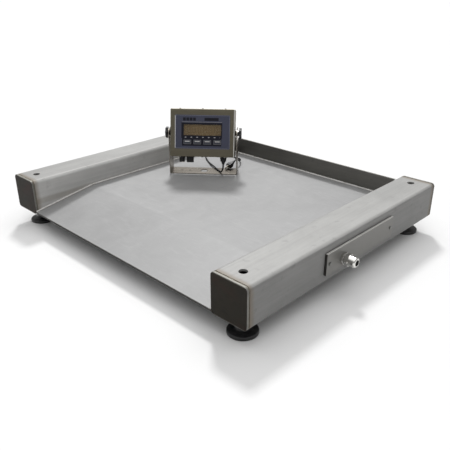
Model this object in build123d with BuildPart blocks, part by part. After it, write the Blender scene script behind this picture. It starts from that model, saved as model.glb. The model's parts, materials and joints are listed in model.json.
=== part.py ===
"""Low-profile stainless floor scale for pallet trucks, with its indicator standing on the deck.

Millimetres, +Z up. The origin is on the floor, under the middle of the whole footprint (the
cable gland on the +X side included). The ramp faces -Y and the stop wall is at +Y.
"""

from build123d import *
import os
from math import atan, pi, radians, tan

os.makedirs("parts", exist_ok=True)

# ---- platform ---------------------------------------------------------------------------
overall_width = 1168.4  # across the two side tubes
overall_length = 978.0  # along the side tubes, end caps included
tube = 127.0  # square side tube, outside
tube_wall = 6.35
tube_corner = 12.7
ground_gap = 55.0  # floor to the underside of the tubes
cap_thick = 6.35
cap_groove = 4.5  # weld groove between a cap and its tube
cap_plug = 14.0  # how far a cap's plug reaches into its tube
cap_plug_wall = 6.0
cap_plug_gap = 0.15  # clearance of the plug in its tube, each side
cap_plug_corner = 6.0
edge_break = 0.8  # chamfer on sawn edges
deck_top = 106.0
deck_thick = 6.35
lip_top = 66.0  # top of the ramp's front edge
ramp_run = 245.0
fold_radius = 12.0
wall_front_y = 447.0  # front face of the stop wall
wall_top = 175.0
wall_bottom = 61.0
rib_ys = (-231.0, -60.0, 200.0, 340.0)
rib_thick = 9.5
gusset_xs = (-366.0, -183.0, 0.0, 183.0, 366.0)
gusset_thick = 8.0
gusset_setback = 14.0  # from the ramp's front edge
gusset_lift = 1.0  # the gussets stop this far above the tubes' underside
conduit_y = 172.0
conduit_z = 80.0
conduit_radius = 10.65
conduit_bore = 8.0
conduit_fit = 0.3  # clearance of the conduit in its holes
conduit_stub = 4.0  # how far it stands inside each tube

# ---- load cells and feet ----------------------------------------------------------------
foot_inset = 55.0  # foot centre from the end of the tube
access_radius = 12.5  # hole over each foot
foot_hole_radius = 20.0  # hole under each foot
cell_side = 31.8
cell_length = 130.0
cell_end = 16.0  # foot hole to the live end of the cell
bolt_ys = (76.2, 101.6)  # cell bolts, from the foot hole
bolt_radius = 6.0
bolt_clearance = 0.75
bolt_head_flat = 9.0  # half the width across flats
bolt_head_height = 7.5
bolt_grip = 27.0  # how far a bolt reaches into its cell
gauge_radius = 10.0  # blind pockets over the strain gauges
gauge_depth = 11.0
gauge_from_foot = 38.0
spacer_length = 50.0
spacer_thick = 10.0
stem_radius = 8.0  # M16 x 2 levelling stem
foot_radius = 44.0
foot_base_gap = 2.0  # hollow under the pad
foot_rim_height = 10.0
foot_slope_end = (24.0, 14.0)  # radius and height where the pad's slope meets its neck
foot_neck = (19.0, 21.0)
foot_hub = (17.0, 29.0)
socket_mouth = 8.2
stem_top = 108.0
stem_chamfer = 1.5
stem_neck_radius = 6.0
stem_neck_top = 31.0
thread_start = 34.0
nut_flat = 12.0
nut_base = 33.0
nut_height = 10.0
key_flat = 4.0  # hexagon socket in the top of the stem
key_depth = 8.0
foot_travel = 10.0
ball_radius = 9.0
ball_z = 17.0
fit_gap = 0.05  # radial clearance of threads and pivots

# ---- junction cover and cable gland -----------------------------------------------------
cover_length = 362.0
cover_height = 70.0
cover_y = 13.0  # middle of the cover
cover_depth = 6.0
cover_sheet = 2.0
seal_thick = 2.0
cover_screw_y = 165.5  # from the middle of the cover
cover_corner = 3.0
cover_land = 32.0  # solid end of the cover, with its screw
screw_hole = 3.4
screw_shank = 2.95
screw_head = (5.5, 3.0)  # radius and height
screw_slot = (1.4, 12.0, 1.4)  # width, length and depth
board_stand_off = 20.0
board_stud = 3.0
gland_y = -99.0  # from the middle of the cover
gland_drop = 6.5  # below the middle of the cover
gland_reach = 47.0  # how far the gland stands out of the cover
gland_flat = 16.5
gland_thread = 12.5
gland_hole = 12.7
gland_bore = 9.0
gland_hex = 9.0  # length of the body's hexagon
gland_nut_gap = 1.0
gland_nut_hex = 14.0
gland_nut_bore = 12.6
gland_mouth = 9.5
gland_seal_radius = 12.2
gland_cable_radius = 6.5
locknut_flat = 17.0
locknut_thick = 5.0

# ---- indicator --------------------------------------------------------------------------
stand_turn = 39.0  # the indicator faces the front right corner
stand_at = (-253.0, 166.5)  # middle of its bracket, from the platform's middle
stand_width = 274.0
stand_depth = 74.0
stand_sheet = 2.5
stand_bend = 4.0  # outside radius of its two bends
arm_above_pivot = 20.0
arm_corner = 18.0
base_hole = 4.0
base_window = 15.0
pivot_height = 162.0
lean_back = 15.0
case_width = 258.0
case_height = 188.0
case_depth = 72.0
case_sheet = 1.5
lid_depth = 14.0
lid_gap = 0.3  # all round, between the front cover and the housing
case_corner = 3.0
boss_radius = 9.0
boss_length = 20.0
window_size = (150.0, 43.0)
window_z = 11.5
key_size = (31.0, 18.0)
key_xs = (-60.0, -20.0, 20.0, 60.0)
key_z = -36.0
overlay_size = (220.0, 133.0)
overlay_z = 4.0
outlet_x = 82.0  # power gland, from the middle of the case
blank_x = 86.0  # blanked gland and sensor connector, on the other side
connector_x = 53.0
knob_radius = 23.0
knob_thick = 9.0
stud_radius = 4.0  # M8 knob stud
stud_clearance = 0.3
washer_radius = 11.0
cord_radius = 3.1
coil_radius = 35.0  # middle of the coil's turns
coil_at = (62.0, 238.0)  # in the bracket's own axes

# The gland stands out on one side only, so the platform sits a little to the left.
platform_x = -(seal_thick + cover_depth + gland_reach) / 2
tube_x = (overall_width - tube) / 2
tube_top = ground_gap + tube
tube_mid_z = ground_gap + tube / 2
clear_width = overall_width - 2 * tube
tube_length = overall_length - 2 * (cap_thick + cap_groove)
foot_y = overall_length / 2 - foot_inset
front_y = -overall_length / 2
fold_y = front_y + ramp_run
ramp_slope = (deck_top - lip_top) / ramp_run
cell_z = ground_gap + tube_wall + spacer_thick

UP, DOWN = (0, 0, 0), (180, 0, 0)
FRONT, BACK, RIGHT, LEFT = (90, 0, 0), (90, 180, 0), (90, 90, 0), (90, -90, 0)
platform = Plane((platform_x, 0, 0))
SIDES = {"left": -1, "right": 1}
ENDS = {"front": -1, "back": 1}


def plane(base, point, facing=UP):
    """A plane placed in another plane's own axes; facing is its turn about X, Y and Z."""
    return Plane(base.location * Location(point, facing))


def save(piece, name):
    piece.part.label = name
    export_step(piece.part, f"parts/{name}.step")


# ---- side tubes -------------------------------------------------------------------------
for side_name, side in SIDES.items():
    with BuildPart() as side_tube:
        with BuildSketch(plane(platform, (side * tube_x, -tube_length / 2, tube_mid_z), BACK)):
            RectangleRounded(tube, tube, tube_corner)
            bore = tube - 2 * tube_wall
            RectangleRounded(bore, bore, tube_corner - tube_wall, mode=Mode.SUBTRACT)
        extrude(amount=tube_length)
        with BuildSketch(plane(platform, (side * tube_x, 0, tube_top))):
            with Locations((0, -foot_y), (0, foot_y)):
                Circle(access_radius)
        extrude(amount=-2 * tube_wall, mode=Mode.SUBTRACT)
        with BuildSketch(plane(platform, (side * tube_x, 0, ground_gap))):
            with Locations((0, -foot_y), (0, foot_y)):
                Circle(foot_hole_radius)
            with Locations([(0, end * (foot_y - y)) for end in (-1, 1) for y in bolt_ys]):
                Circle(bolt_radius + bolt_clearance)
        extrude(amount=2 * tube_wall, mode=Mode.SUBTRACT)
        inner_face_x = side * (tube_x - tube / 2)
        with BuildSketch(plane(platform, (inner_face_x, conduit_y, conduit_z), RIGHT)):
            Circle(conduit_radius + conduit_fit)
        extrude(amount=2 * tube_wall, both=True, mode=Mode.SUBTRACT)
        if side > 0:
            with BuildSketch(plane(platform, (overall_width / 2, cover_y, tube_mid_z), RIGHT)):
                RectangleRounded(cover_length - 2 * cover_land, cover_height - 14, 2 * cover_corner)
                with Locations((-cover_screw_y, 0), (cover_screw_y, 0)):
                    Circle(screw_shank + fit_gap)
            extrude(amount=2 * tube_wall, both=True, mode=Mode.SUBTRACT)
    save(side_tube, f"{side_name}_tube")

    for end_name, end in ENDS.items():
        facing = FRONT if end < 0 else BACK
        with BuildPart() as end_cap:
            at = (side * tube_x, end * (overall_length / 2 - cap_thick), tube_mid_z)
            with BuildSketch(plane(platform, at, facing)):
                RectangleRounded(tube, tube, tube_corner)
            extrude(amount=cap_thick)
            chamfer(end_cap.faces().sort_by(Axis.Y)[0 if end < 0 else -1].edges(), edge_break)
            with BuildSketch(plane(platform, at, facing)):
                plug = tube - 2 * (tube_wall + cap_plug_gap)
                RectangleRounded(plug, plug, cap_plug_corner)
                inside = tube - 2 * (tube_wall + cap_plug_wall)
                RectangleRounded(inside, inside, cap_plug_wall / 2, mode=Mode.SUBTRACT)
            extrude(amount=-(cap_groove + cap_plug))
        save(end_cap, f"end_cap_{end_name}_{side_name}")

# ---- deck, stop wall and the ribs under the deck ----------------------------------------
with BuildPart() as deck_plate:
    with BuildSketch(plane(platform, (-clear_width / 2, 0, 0), RIGHT)):
        under = deck_top - deck_thick
        fold_under = fold_y + deck_thick * tan(atan(ramp_slope) / 2)
        with BuildLine():
            FilletPolyline(
                (front_y, lip_top),
                (fold_y, deck_top),
                (wall_front_y, deck_top),
                (wall_front_y, under),
                (fold_under, under),
                (front_y, lip_top - deck_thick),
                radius=[0, fold_radius + deck_thick, 0, 0, fold_radius, 0],
                close=True,
            )
        make_face()
    extrude(amount=clear_width)
save(deck_plate, "deck_plate")

with BuildPart() as back_wall:
    with BuildSketch(plane(platform, (0, wall_front_y, 0), BACK)):
        with Locations((0, (wall_top + wall_bottom) / 2)):
            Rectangle(clear_width, wall_top - wall_bottom)
    extrude(amount=deck_thick)
    chamfer(back_wall.faces().sort_by(Axis.Z)[-1].edges().filter_by(Axis.X), edge_break)
save(back_wall, "back_wall")

with BuildPart() as deck_ribs:
    rib_top = deck_top - deck_thick
    with BuildSketch(plane(platform, (0, 0, wall_bottom))):
        with Locations([(0, y) for y in rib_ys]):
            Rectangle(clear_width, rib_thick)
    extrude(amount=rib_top - wall_bottom)
    gusset_front = front_y + gusset_setback
    gusset_back = rib_ys[0] - rib_thick / 2

    def ramp_under(y):
        """Height of the ramp's underside, a hair below it."""
        rise = (deck_top - lip_top) / (fold_under - front_y)
        return lip_top - deck_thick - 0.2 + (y - front_y) * rise

    for x in gusset_xs:
        with BuildSketch(plane(platform, (x - gusset_thick / 2, 0, 0), RIGHT)):
            with BuildLine():
                Polyline(
                    (gusset_front, ramp_under(gusset_front)),
                    (fold_under, ramp_under(fold_under)),
                    (gusset_back, ramp_under(fold_under)),
                    (gusset_back, wall_bottom),
                    (gusset_front, ground_gap + gusset_lift),
                    close=True,
                )
            make_face()
        extrude(amount=gusset_thick)
save(deck_ribs, "deck_ribs")

with BuildPart() as cable_conduit:
    reach = clear_width / 2 + tube_wall + conduit_stub
    with BuildSketch(plane(platform, (-reach, conduit_y, conduit_z), RIGHT)):
        Circle(conduit_radius)
        Circle(conduit_bore, mode=Mode.SUBTRACT)
    extrude(amount=2 * reach)
save(cable_conduit, "cable_conduit")

# ---- load cells, their spacers and bolts ------------------------------------------------
corners = [(s_name, s, e_name, e) for s_name, s in SIDES.items() for e_name, e in ENDS.items()]

for side_name, side, end_name, end in corners:
    with BuildPart() as load_cell:
        mid_y = end * (foot_y + cell_end - cell_length / 2)
        with BuildSketch(plane(platform, (side * tube_x, mid_y, cell_z))):
            Rectangle(cell_side, cell_length)
        extrude(amount=cell_side)
        chamfer(load_cell.edges().filter_by(Axis.Y), edge_break)
        foot_hole_y = end * foot_y
        with BuildSketch(plane(platform, (side * tube_x, foot_hole_y, cell_z))):
            Circle(stem_radius)
            with Locations([(0, -end * y) for y in bolt_ys]):
                Circle(bolt_radius)
        extrude(amount=cell_side, mode=Mode.SUBTRACT)
        gauge_y = end * (foot_y - gauge_from_foot)
        for facing, face_x in ((RIGHT, cell_side / 2), (LEFT, -cell_side / 2)):
            at = (side * tube_x + face_x, gauge_y, cell_z + cell_side / 2)
            with BuildSketch(plane(platform, at, facing)):
                Circle(gauge_radius)
            extrude(amount=-gauge_depth, mode=Mode.SUBTRACT)
    save(load_cell, f"load_cell_{end_name}_{side_name}")

with BuildPart() as cell_spacers:
    for side_name, side, end_name, end in corners:
        bolt_mid = foot_y - sum(bolt_ys) / 2
        with BuildSketch(plane(platform, (side * tube_x, end * bolt_mid, ground_gap + tube_wall))):
            Rectangle(cell_side, spacer_length)
            half_pitch = (bolt_ys[1] - bolt_ys[0]) / 2
            with Locations((0, -half_pitch), (0, half_pitch)):
                Circle(bolt_radius + bolt_clearance, mode=Mode.SUBTRACT)
        extrude(amount=spacer_thick)
save(cell_spacers, "cell_spacers")

with BuildPart() as cell_bolts:
    for side_name, side, end_name, end in corners:
        spots = [(0, end * (foot_y - y)) for y in bolt_ys]
        with BuildSketch(plane(platform, (side * tube_x, 0, ground_gap))):
            with Locations(spots):
                RegularPolygon(bolt_head_flat, 6, major_radius=False)
        extrude(amount=-bolt_head_height)
        with BuildSketch(plane(platform, (side * tube_x, 0, ground_gap))):
            with Locations(spots):
                Circle(bolt_radius - fit_gap)
        extrude(amount=cell_z + bolt_grip - ground_gap)
save(cell_bolts, "cell_bolts")

# ---- levelling feet ---------------------------------------------------------------------
for side_name, side, end_name, end in corners:
    foot_axis = plane(platform, (side * tube_x, end * foot_y, 0), FRONT)
    turn_axis = Axis(foot_axis.origin, (0, 0, 1))
    with BuildPart() as foot_pad:
        with BuildSketch(foot_axis):
            with BuildLine():
                socket_r = ball_radius + fit_gap
                mouth_z = ball_z + (socket_r**2 - socket_mouth**2) ** 0.5
                rim_r = foot_radius - 3.5
                Line((0, foot_base_gap), (foot_radius - 6, foot_base_gap))
                Line((foot_radius - 6, foot_base_gap), (foot_radius - 4, 0))
                Line((foot_radius - 4, 0), (foot_radius, 0))
                Line((foot_radius, 0), (foot_radius, 6))
                ThreePointArc((foot_radius, 6), (foot_radius - 1, 8.6), (rim_r, foot_rim_height))
                Line((rim_r, foot_rim_height), foot_slope_end)
                ThreePointArc(foot_slope_end, (20.5, 17), foot_neck)
                Line(foot_neck, foot_hub)
                Line(foot_hub, (socket_mouth + 2, foot_hub[1]))
                Line((socket_mouth + 2, foot_hub[1]), (socket_mouth, mouth_z))
                ThreePointArc(
                    (socket_mouth, mouth_z), (socket_r, ball_z), (0, ball_z - socket_r)
                )
                Line((0, ball_z - socket_r), (0, foot_base_gap))
            make_face()
        revolve(axis=turn_axis)
    save(foot_pad, f"foot_pad_{end_name}_{side_name}")

    with BuildPart() as foot_stem:
        with BuildSketch(foot_axis):
            with BuildLine():
                neck_r = stem_neck_radius
                thread_r = stem_radius - fit_gap
                neck_z = ball_z + (ball_radius**2 - neck_r**2) ** 0.5
                Line((0, ball_z - ball_radius), (0, stem_top))
                Line((0, stem_top), (thread_r - stem_chamfer, stem_top))
                Line((thread_r - stem_chamfer, stem_top), (thread_r, stem_top - stem_chamfer))
                Line((thread_r, stem_top - stem_chamfer), (thread_r, thread_start))
                Line((thread_r, thread_start), (neck_r, stem_neck_top))
                Line((neck_r, stem_neck_top), (neck_r, neck_z))
                ThreePointArc((neck_r, neck_z), (ball_radius, ball_z), (0, ball_z - ball_radius))
            make_face()
        revolve(axis=turn_axis)
        with BuildSketch(plane(platform, (side * tube_x, end * foot_y, nut_base))):
            RegularPolygon(nut_flat, 6, major_radius=False)
        extrude(amount=nut_height)
        with BuildSketch(plane(platform, (side * tube_x, end * foot_y, stem_top))):
            RegularPolygon(key_flat, 6, major_radius=False)
        extrude(amount=-key_depth, mode=Mode.SUBTRACT)
    save(foot_stem, f"foot_stem_{end_name}_{side_name}")

# ---- junction cover, gasket, screws, gland and summing board ----------------------------
side_face_x = overall_width / 2
cover_back = plane(platform, (side_face_x + seal_thick, cover_y, tube_mid_z), RIGHT)

with BuildPart() as junction_gasket:
    with BuildSketch(plane(platform, (side_face_x, cover_y, tube_mid_z), RIGHT)):
        RectangleRounded(cover_length - 1, cover_height - 1, cover_corner)
        RectangleRounded(cover_length - 60, cover_height - 12, 6, mode=Mode.SUBTRACT)
        with Locations((-cover_screw_y, 0), (cover_screw_y, 0)):
            Circle(screw_hole, mode=Mode.SUBTRACT)
    extrude(amount=seal_thick)
save(junction_gasket, "junction_gasket")

board_studs = [(x, y) for x in (-15.0, 135.0) for y in (-18.0, 18.0)]
with BuildPart() as junction_cover:
    with BuildSketch(cover_back):
        RectangleRounded(cover_length, cover_height, cover_corner)
    extrude(amount=cover_depth)
    fillet(junction_cover.faces().sort_by(Axis.X)[-1].edges(), 1)
    with BuildSketch(cover_back):
        RectangleRounded(cover_length - 66, cover_height - 2 * cover_sheet, 2)
    extrude(amount=cover_depth - cover_sheet, mode=Mode.SUBTRACT)
    with BuildSketch(cover_back):
        with Locations((-cover_screw_y, 0), (cover_screw_y, 0)):
            Circle(screw_hole)
        with Locations((gland_y, -gland_drop)):
            Circle(gland_hole)
    extrude(amount=cover_depth, mode=Mode.SUBTRACT)
    with BuildSketch(plane(cover_back, (0, 0, cover_depth - cover_sheet))):
        with Locations(board_studs):
            Circle(board_stud)
    extrude(amount=-board_stand_off)
save(junction_cover, "junction_cover")

with BuildPart() as junction_screws:
    with BuildSketch(plane(cover_back, (0, 0, cover_depth))):
        with Locations((-cover_screw_y, 0), (cover_screw_y, 0)):
            Circle(screw_head[0])
    extrude(amount=screw_head[1])
    fillet(junction_screws.faces().sort_by(Axis.X)[-1].edges(), 1.2)
    with BuildSketch(plane(cover_back, (0, 0, cover_depth))):
        with Locations((-cover_screw_y, 0), (cover_screw_y, 0)):
            Circle(screw_shank)
    extrude(amount=-(cover_depth + seal_thick + tube_wall + 2))
    with BuildSketch(plane(cover_back, (0, 0, cover_depth + screw_head[1]))):
        with Locations((-cover_screw_y, 0), (cover_screw_y, 0)):
            Rectangle(*screw_slot[:2])
    extrude(amount=-screw_slot[2], mode=Mode.SUBTRACT)
save(junction_screws, "junction_screws")

gland_axis = plane(cover_back, (gland_y, -gland_drop, cover_depth))
thread_out, thread_in = 26.0, 12.0
with BuildPart() as gland_body:
    with BuildSketch(gland_axis):
        RegularPolygon(gland_flat, 6, major_radius=False)
    extrude(amount=gland_hex)
    chamfer(gland_body.faces().sort_by(Axis.X)[-1].edges(), 1)
    with BuildSketch(plane(gland_axis, (0, 0, -thread_in))):
        Circle(gland_thread)
    extrude(amount=thread_in + thread_out)
    with BuildSketch(plane(gland_axis, (0, 0, -thread_in))):
        Circle(gland_bore)
    extrude(amount=thread_in + thread_out, mode=Mode.SUBTRACT)
save(gland_body, "gland_body")

nut_from = gland_hex + gland_nut_gap
dome_from = nut_from + gland_nut_hex
with BuildPart() as gland_nut:
    with BuildSketch(plane(gland_axis, (0, 0, nut_from))):
        RegularPolygon(gland_flat, 6, major_radius=False)
    extrude(amount=gland_nut_hex)
    chamfer(gland_nut.faces().sort_by(Axis.X)[0].edges(), 1)
    with BuildSketch(plane(gland_axis, (0, 0, dome_from))):
        Circle(gland_flat - 0.1)
    extrude(amount=gland_reach - dome_from)
    fillet(gland_nut.faces().sort_by(Axis.X)[-1].edges(), 6)
    with BuildSketch(plane(gland_axis, (0, 0, nut_from))):
        Circle(gland_nut_bore)
    extrude(amount=gland_reach - nut_from - 5, mode=Mode.SUBTRACT)
    with BuildSketch(plane(gland_axis, (0, 0, nut_from))):
        Circle(gland_mouth)
    extrude(amount=gland_reach, mode=Mode.SUBTRACT)
save(gland_nut, "gland_nut")

with BuildPart() as gland_seal:
    with BuildSketch(plane(gland_axis, (0, 0, thread_out + 0.5))):
        Circle(gland_seal_radius)
        Circle(gland_cable_radius, mode=Mode.SUBTRACT)
    extrude(amount=gland_reach - 6 - thread_out)
save(gland_seal, "gland_seal")

with BuildPart() as gland_locknut:
    inner_face = plane(gland_axis, (0, 0, -cover_sheet))
    with BuildSketch(inner_face):
        RegularPolygon(locknut_flat, 6, major_radius=False)
        Circle(gland_nut_bore, mode=Mode.SUBTRACT)
    extrude(amount=-locknut_thick)
save(gland_locknut, "gland_locknut")

board_base = plane(cover_back, (60, 0, cover_depth - cover_sheet - board_stand_off))
board_thick = 1.6
terminal_pitch = 31.0
with BuildPart() as summing_board:
    with BuildSketch(board_base):
        RectangleRounded(170, 46, 2)
    extrude(amount=-board_thick)
    with BuildSketch(plane(board_base, (0, 0, -board_thick))):
        with Locations((0, -13)):
            with GridLocations(terminal_pitch, 1, 5, 1):
                Rectangle(24, 12)
    extrude(amount=-11)
    with BuildSketch(plane(board_base, (0, 0, -board_thick))):
        with Locations((0, 12)):
            with GridLocations(terminal_pitch, 1, 4, 1):
                Rectangle(7, 10)
    extrude(amount=-6)
save(summing_board, "summing_board")

# ---- load cell cables, from each cell to the summing board ------------------------------
cable_radius = 2.5
cell_mid_z = cell_z + cell_side / 2
cell_back_y = foot_y + cell_end - cell_length - 0.5
conduit_end = clear_width / 2 + 14
board_x = tube_x + tube / 2 - 34
cable_routes = [
    (
        [(tube_x, -cell_back_y, cell_mid_z), (tube_x, -140, cell_mid_z), (board_x - 4, -45, 104)],
        [90],
    ),
    (
        [(tube_x, cell_back_y, cell_mid_z), (tube_x, 240, cell_mid_z), (board_x - 4, 176, 104)],
        [90],
    ),
    (
        [
            (-tube_x, -cell_back_y, cell_mid_z),
            (-tube_x, conduit_y - 50, conduit_z + 4),
            (-tube_x + 14, conduit_y - 3.6, conduit_z),
            (-conduit_end + 20, conduit_y - 3.6, conduit_z),
            (conduit_end, conduit_y - 3.7, conduit_z),
            (tube_x - 10, conduit_y - 10, conduit_z + 4),
            (board_x - 9, 112, 98),
        ],
        [60, 20, 30, 30, 30],
    ),
    (
        [
            (-tube_x, cell_back_y, cell_mid_z),
            (-tube_x, conduit_y + 60, conduit_z + 4),
            (-tube_x + 16, conduit_y + 3.6, conduit_z),
            (-conduit_end + 20, conduit_y + 3.6, conduit_z),
            (conduit_end, conduit_y + 3.7, conduit_z),
            (tube_x - 8, conduit_y + 2, conduit_z + 4),
            (board_x - 9, 150, 98),
        ],
        [60, 20, 30, 30, 30],
    ),
]
with BuildPart() as cell_cables:
    for points, radii in cable_routes:
        placed = [platform.from_local_coords(p) for p in points]
        with BuildLine() as route:
            FilletPolyline(*placed, radius=radii)
        with BuildSketch(route.line ^ 0):
            Circle(cable_radius)
        sweep(path=route.line)
save(cell_cables, "cell_cables")

# ---- indicator stand --------------------------------------------------------------------
stand = Plane(platform.location * Location((*stand_at, deck_top), (0, 0, stand_turn)))
arm_top = pivot_height + arm_above_pivot
hole_line = (-92.0, -60.0, 60.0, 92.0)
with BuildPart() as stand_bracket:
    with BuildSketch(plane(stand, (0, -stand_depth / 2, 0), BACK)):
        with Locations((0, arm_top / 2)):
            Rectangle(stand_width, arm_top)
    extrude(amount=stand_depth)
    bends = stand_bracket.edges().filter_by(lambda e: e.length > stand_depth - 1)
    lowest = bends.group_by(Axis.Z)[0].filter_by(lambda e: abs(e.length - stand_depth) < 0.01)
    fillet(lowest, stand_bend)
    with BuildSketch(plane(stand, (0, -stand_depth / 2, stand_sheet), BACK)) as hollow:
        with Locations((0, arm_top / 2 + 1)):
            Rectangle(stand_width - 2 * stand_sheet, arm_top + 2)
        fillet(hollow.vertices().group_by(Axis.Z)[0], stand_bend - stand_sheet)
    extrude(amount=stand_depth, mode=Mode.SUBTRACT)
    with BuildSketch(plane(stand, (0, 0, 0))):
        with Locations([(x, 0) for x in hole_line]):
            Circle(base_hole)
        Circle(base_window)
    extrude(amount=stand_sheet, mode=Mode.SUBTRACT)
    with BuildSketch(plane(stand, (-stand_width / 2, 0, pivot_height), RIGHT)):
        Circle(stud_radius + stud_clearance)
    extrude(amount=stand_width, mode=Mode.SUBTRACT)
    top_corners = stand_bracket.edges().filter_by(
        lambda e: abs(e.length - stand_sheet) < 0.01 and e.center().Z > deck_top + arm_top - 1
    )
    fillet(top_corners, arm_corner)
save(stand_bracket, "stand_bracket")

case = Plane(stand.location * Location((0, 0, pivot_height), (-lean_back, 0, 0)))
arm_inside = stand_width / 2 - stand_sheet
body_width = case_width - 2 * (case_sheet + lid_gap)
body_height = case_height - 2 * (case_sheet + lid_gap)
with BuildPart() as pivot_spacers:
    for side in (-1, 1):
        facing = RIGHT if side > 0 else LEFT
        with BuildSketch(plane(case, (side * (case_width / 2 + 0.1), 0, 0), facing)):
            Circle(washer_radius)
            Circle(stud_radius + stud_clearance, mode=Mode.SUBTRACT)
        extrude(amount=arm_inside - case_width / 2 - 0.2)
save(pivot_spacers, "pivot_spacers")

# ---- indicator case ---------------------------------------------------------------------
case_front = -case_depth / 2
seat = case_front + case_sheet  # inside face of the front cover
gasket_thick = 2.0
body_front = seat + gasket_thick
with BuildPart() as rear_housing:
    with BuildSketch(plane(case, (0, body_front, 0), BACK)):
        RectangleRounded(body_width, body_height, case_corner)
    extrude(amount=case_depth / 2 - body_front)
    back_edges = rear_housing.faces().filter_by(
        lambda f: case.to_local_coords(f.center()).Y > case_depth / 2 - 0.01
    )
    fillet(back_edges.edges(), 2.5)
    with BuildSketch(plane(case, (0, body_front, 0), BACK)):
        RectangleRounded(body_width - 2 * case_sheet, body_height - 2 * case_sheet, 1.5)
    extrude(amount=case_depth / 2 - body_front - case_sheet, mode=Mode.SUBTRACT)
    for side in (-1, 1):
        facing = LEFT if side > 0 else RIGHT
        with BuildSketch(plane(case, (side * (case_width / 2), 0, 0), facing)):
            Circle(boss_radius)
        extrude(amount=boss_length)
        with BuildSketch(plane(case, (side * case_width / 2, 0, 0), facing)):
            Circle(stud_radius)
        extrude(amount=boss_length, mode=Mode.SUBTRACT)
    with BuildSketch(plane(case, (0, 0, -body_height / 2), DOWN)):
        with Locations((outlet_x, 0), (-blank_x, 0)):
            Circle(8)
        with Locations((-connector_x, 0)):
            Circle(12)
    extrude(amount=-5 * case_sheet, mode=Mode.SUBTRACT)
save(rear_housing, "rear_housing")

with BuildPart() as housing_gasket:
    with BuildSketch(plane(case, (0, seat, 0), BACK)):
        RectangleRounded(body_width, body_height, case_corner)
        RectangleRounded(body_width - 12, body_height - 12, 2, mode=Mode.SUBTRACT)
    extrude(amount=gasket_thick)
save(housing_gasket, "housing_gasket")

screw_spots = [(x, seat + 7) for x in (-90.0, 0.0, 90.0)]
with BuildPart() as front_cover:
    with BuildSketch(plane(case, (0, case_front + lid_depth, 0), FRONT)):
        RectangleRounded(case_width, case_height, case_corner + 1)
    extrude(amount=lid_depth)
    front_face = front_cover.faces().filter_by(
        lambda f: case.to_local_coords(f.center()).Y < case_front + 0.01
    )
    fillet(front_face.edges(), case_corner)
    with BuildSketch(plane(case, (0, case_front + lid_depth, 0), FRONT)):
        RectangleRounded(case_width - 2 * case_sheet, case_height - 2 * case_sheet, case_corner)
    extrude(amount=lid_depth - case_sheet, mode=Mode.SUBTRACT)
    with BuildSketch(plane(case, (0, case_front, 0), FRONT)):
        with Locations((0, window_z)):
            Rectangle(window_size[0] + 2.4, window_size[1] + 2.4)
        with Locations([(x, key_z) for x in key_xs]):
            RectangleRounded(key_size[0] + 0.8, key_size[1] + 0.8, 2.4)
    extrude(amount=-2 * case_sheet, mode=Mode.SUBTRACT)
    with BuildSketch(plane(case, (0, 0, 0))):
        with Locations(screw_spots):
            Circle(2.2)
        with Locations((-case_width / 2, 0), (case_width / 2, 0)):
            Rectangle(40, 24)
    extrude(amount=case_height, both=True, mode=Mode.SUBTRACT)
save(front_cover, "front_cover")

with BuildPart() as cover_screws:
    for top, facing in ((1, UP), (-1, DOWN)):
        base = plane(case, (0, 0, top * case_height / 2), facing)
        spots = [(x, top * y) for x, y in screw_spots]
        with BuildSketch(base):
            with Locations(spots):
                Circle(4)
        extrude(amount=2.4)
        with BuildSketch(base):
            with Locations(spots):
                Circle(2)
        extrude(amount=-(case_sheet + 0.2))
save(cover_screws, "cover_screws")

overlay_thick = 0.6
with BuildPart() as overlay:
    with BuildSketch(plane(case, (0, case_front, 0), FRONT)):
        with Locations((0, overlay_z)):
            RectangleRounded(*overlay_size, 5)
        with Locations((0, window_z)):
            Rectangle(*window_size, mode=Mode.SUBTRACT)
        with Locations([(x, key_z) for x in key_xs]):
            RectangleRounded(key_size[0] + 0.6, key_size[1] + 0.6, 2.3, mode=Mode.SUBTRACT)
    extrude(amount=overlay_thick)
save(overlay, "overlay")

with BuildPart() as display_window:
    with BuildSketch(plane(case, (0, case_front, 0), FRONT)):
        with Locations((0, window_z)):
            Rectangle(window_size[0] + 2, window_size[1] + 2)
    extrude(amount=-2)
save(display_window, "display_window")

with BuildPart() as display_module:
    with BuildSketch(plane(case, (0, case_front + 3, 0), FRONT)):
        with Locations((0, window_z)):
            Rectangle(window_size[0] + 8, window_size[1] + 9)
    extrude(amount=-9)
save(display_module, "display_module")

key_travel = 0.5
for number, x in enumerate(key_xs, 1):
    with BuildPart() as key:
        with BuildSketch(plane(case, (x, case_front + 1, key_z), FRONT)):
            RectangleRounded(*key_size, 2)
        extrude(amount=1 + overlay_thick + 1.2)
        key_face = key.faces().filter_by(
            lambda f: case.to_local_coords(f.center()).Y < case_front - overlay_thick - 1.1
        )
        fillet(key_face.edges(), 0.6)
        with BuildSketch(plane(case, (x, case_front + 1, key_z), BACK)):
            Circle(4)
        extrude(amount=5)
    save(key, f"key_{number}")

with BuildPart() as main_board:
    board_y = case_front + 18
    with BuildSketch(plane(case, (0, board_y, 0), BACK)):
        RectangleRounded(210, 130, 3)
    extrude(amount=1.6)
    with BuildSketch(plane(case, (0, board_y, 0), FRONT)):
        with Locations([(x, key_z) for x in key_xs]):
            Rectangle(12, 12)
    extrude(amount=board_y - case_front - 7)
    with BuildSketch(plane(case, (0, board_y + 1.6, 0), BACK)):
        with Locations((-70, 40), (-70, 10), (-30, 40)):
            Rectangle(18, 18)
        with Locations((60, -45)):
            Rectangle(60, 12)
    extrude(amount=6)
save(main_board, "main_board")

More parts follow.
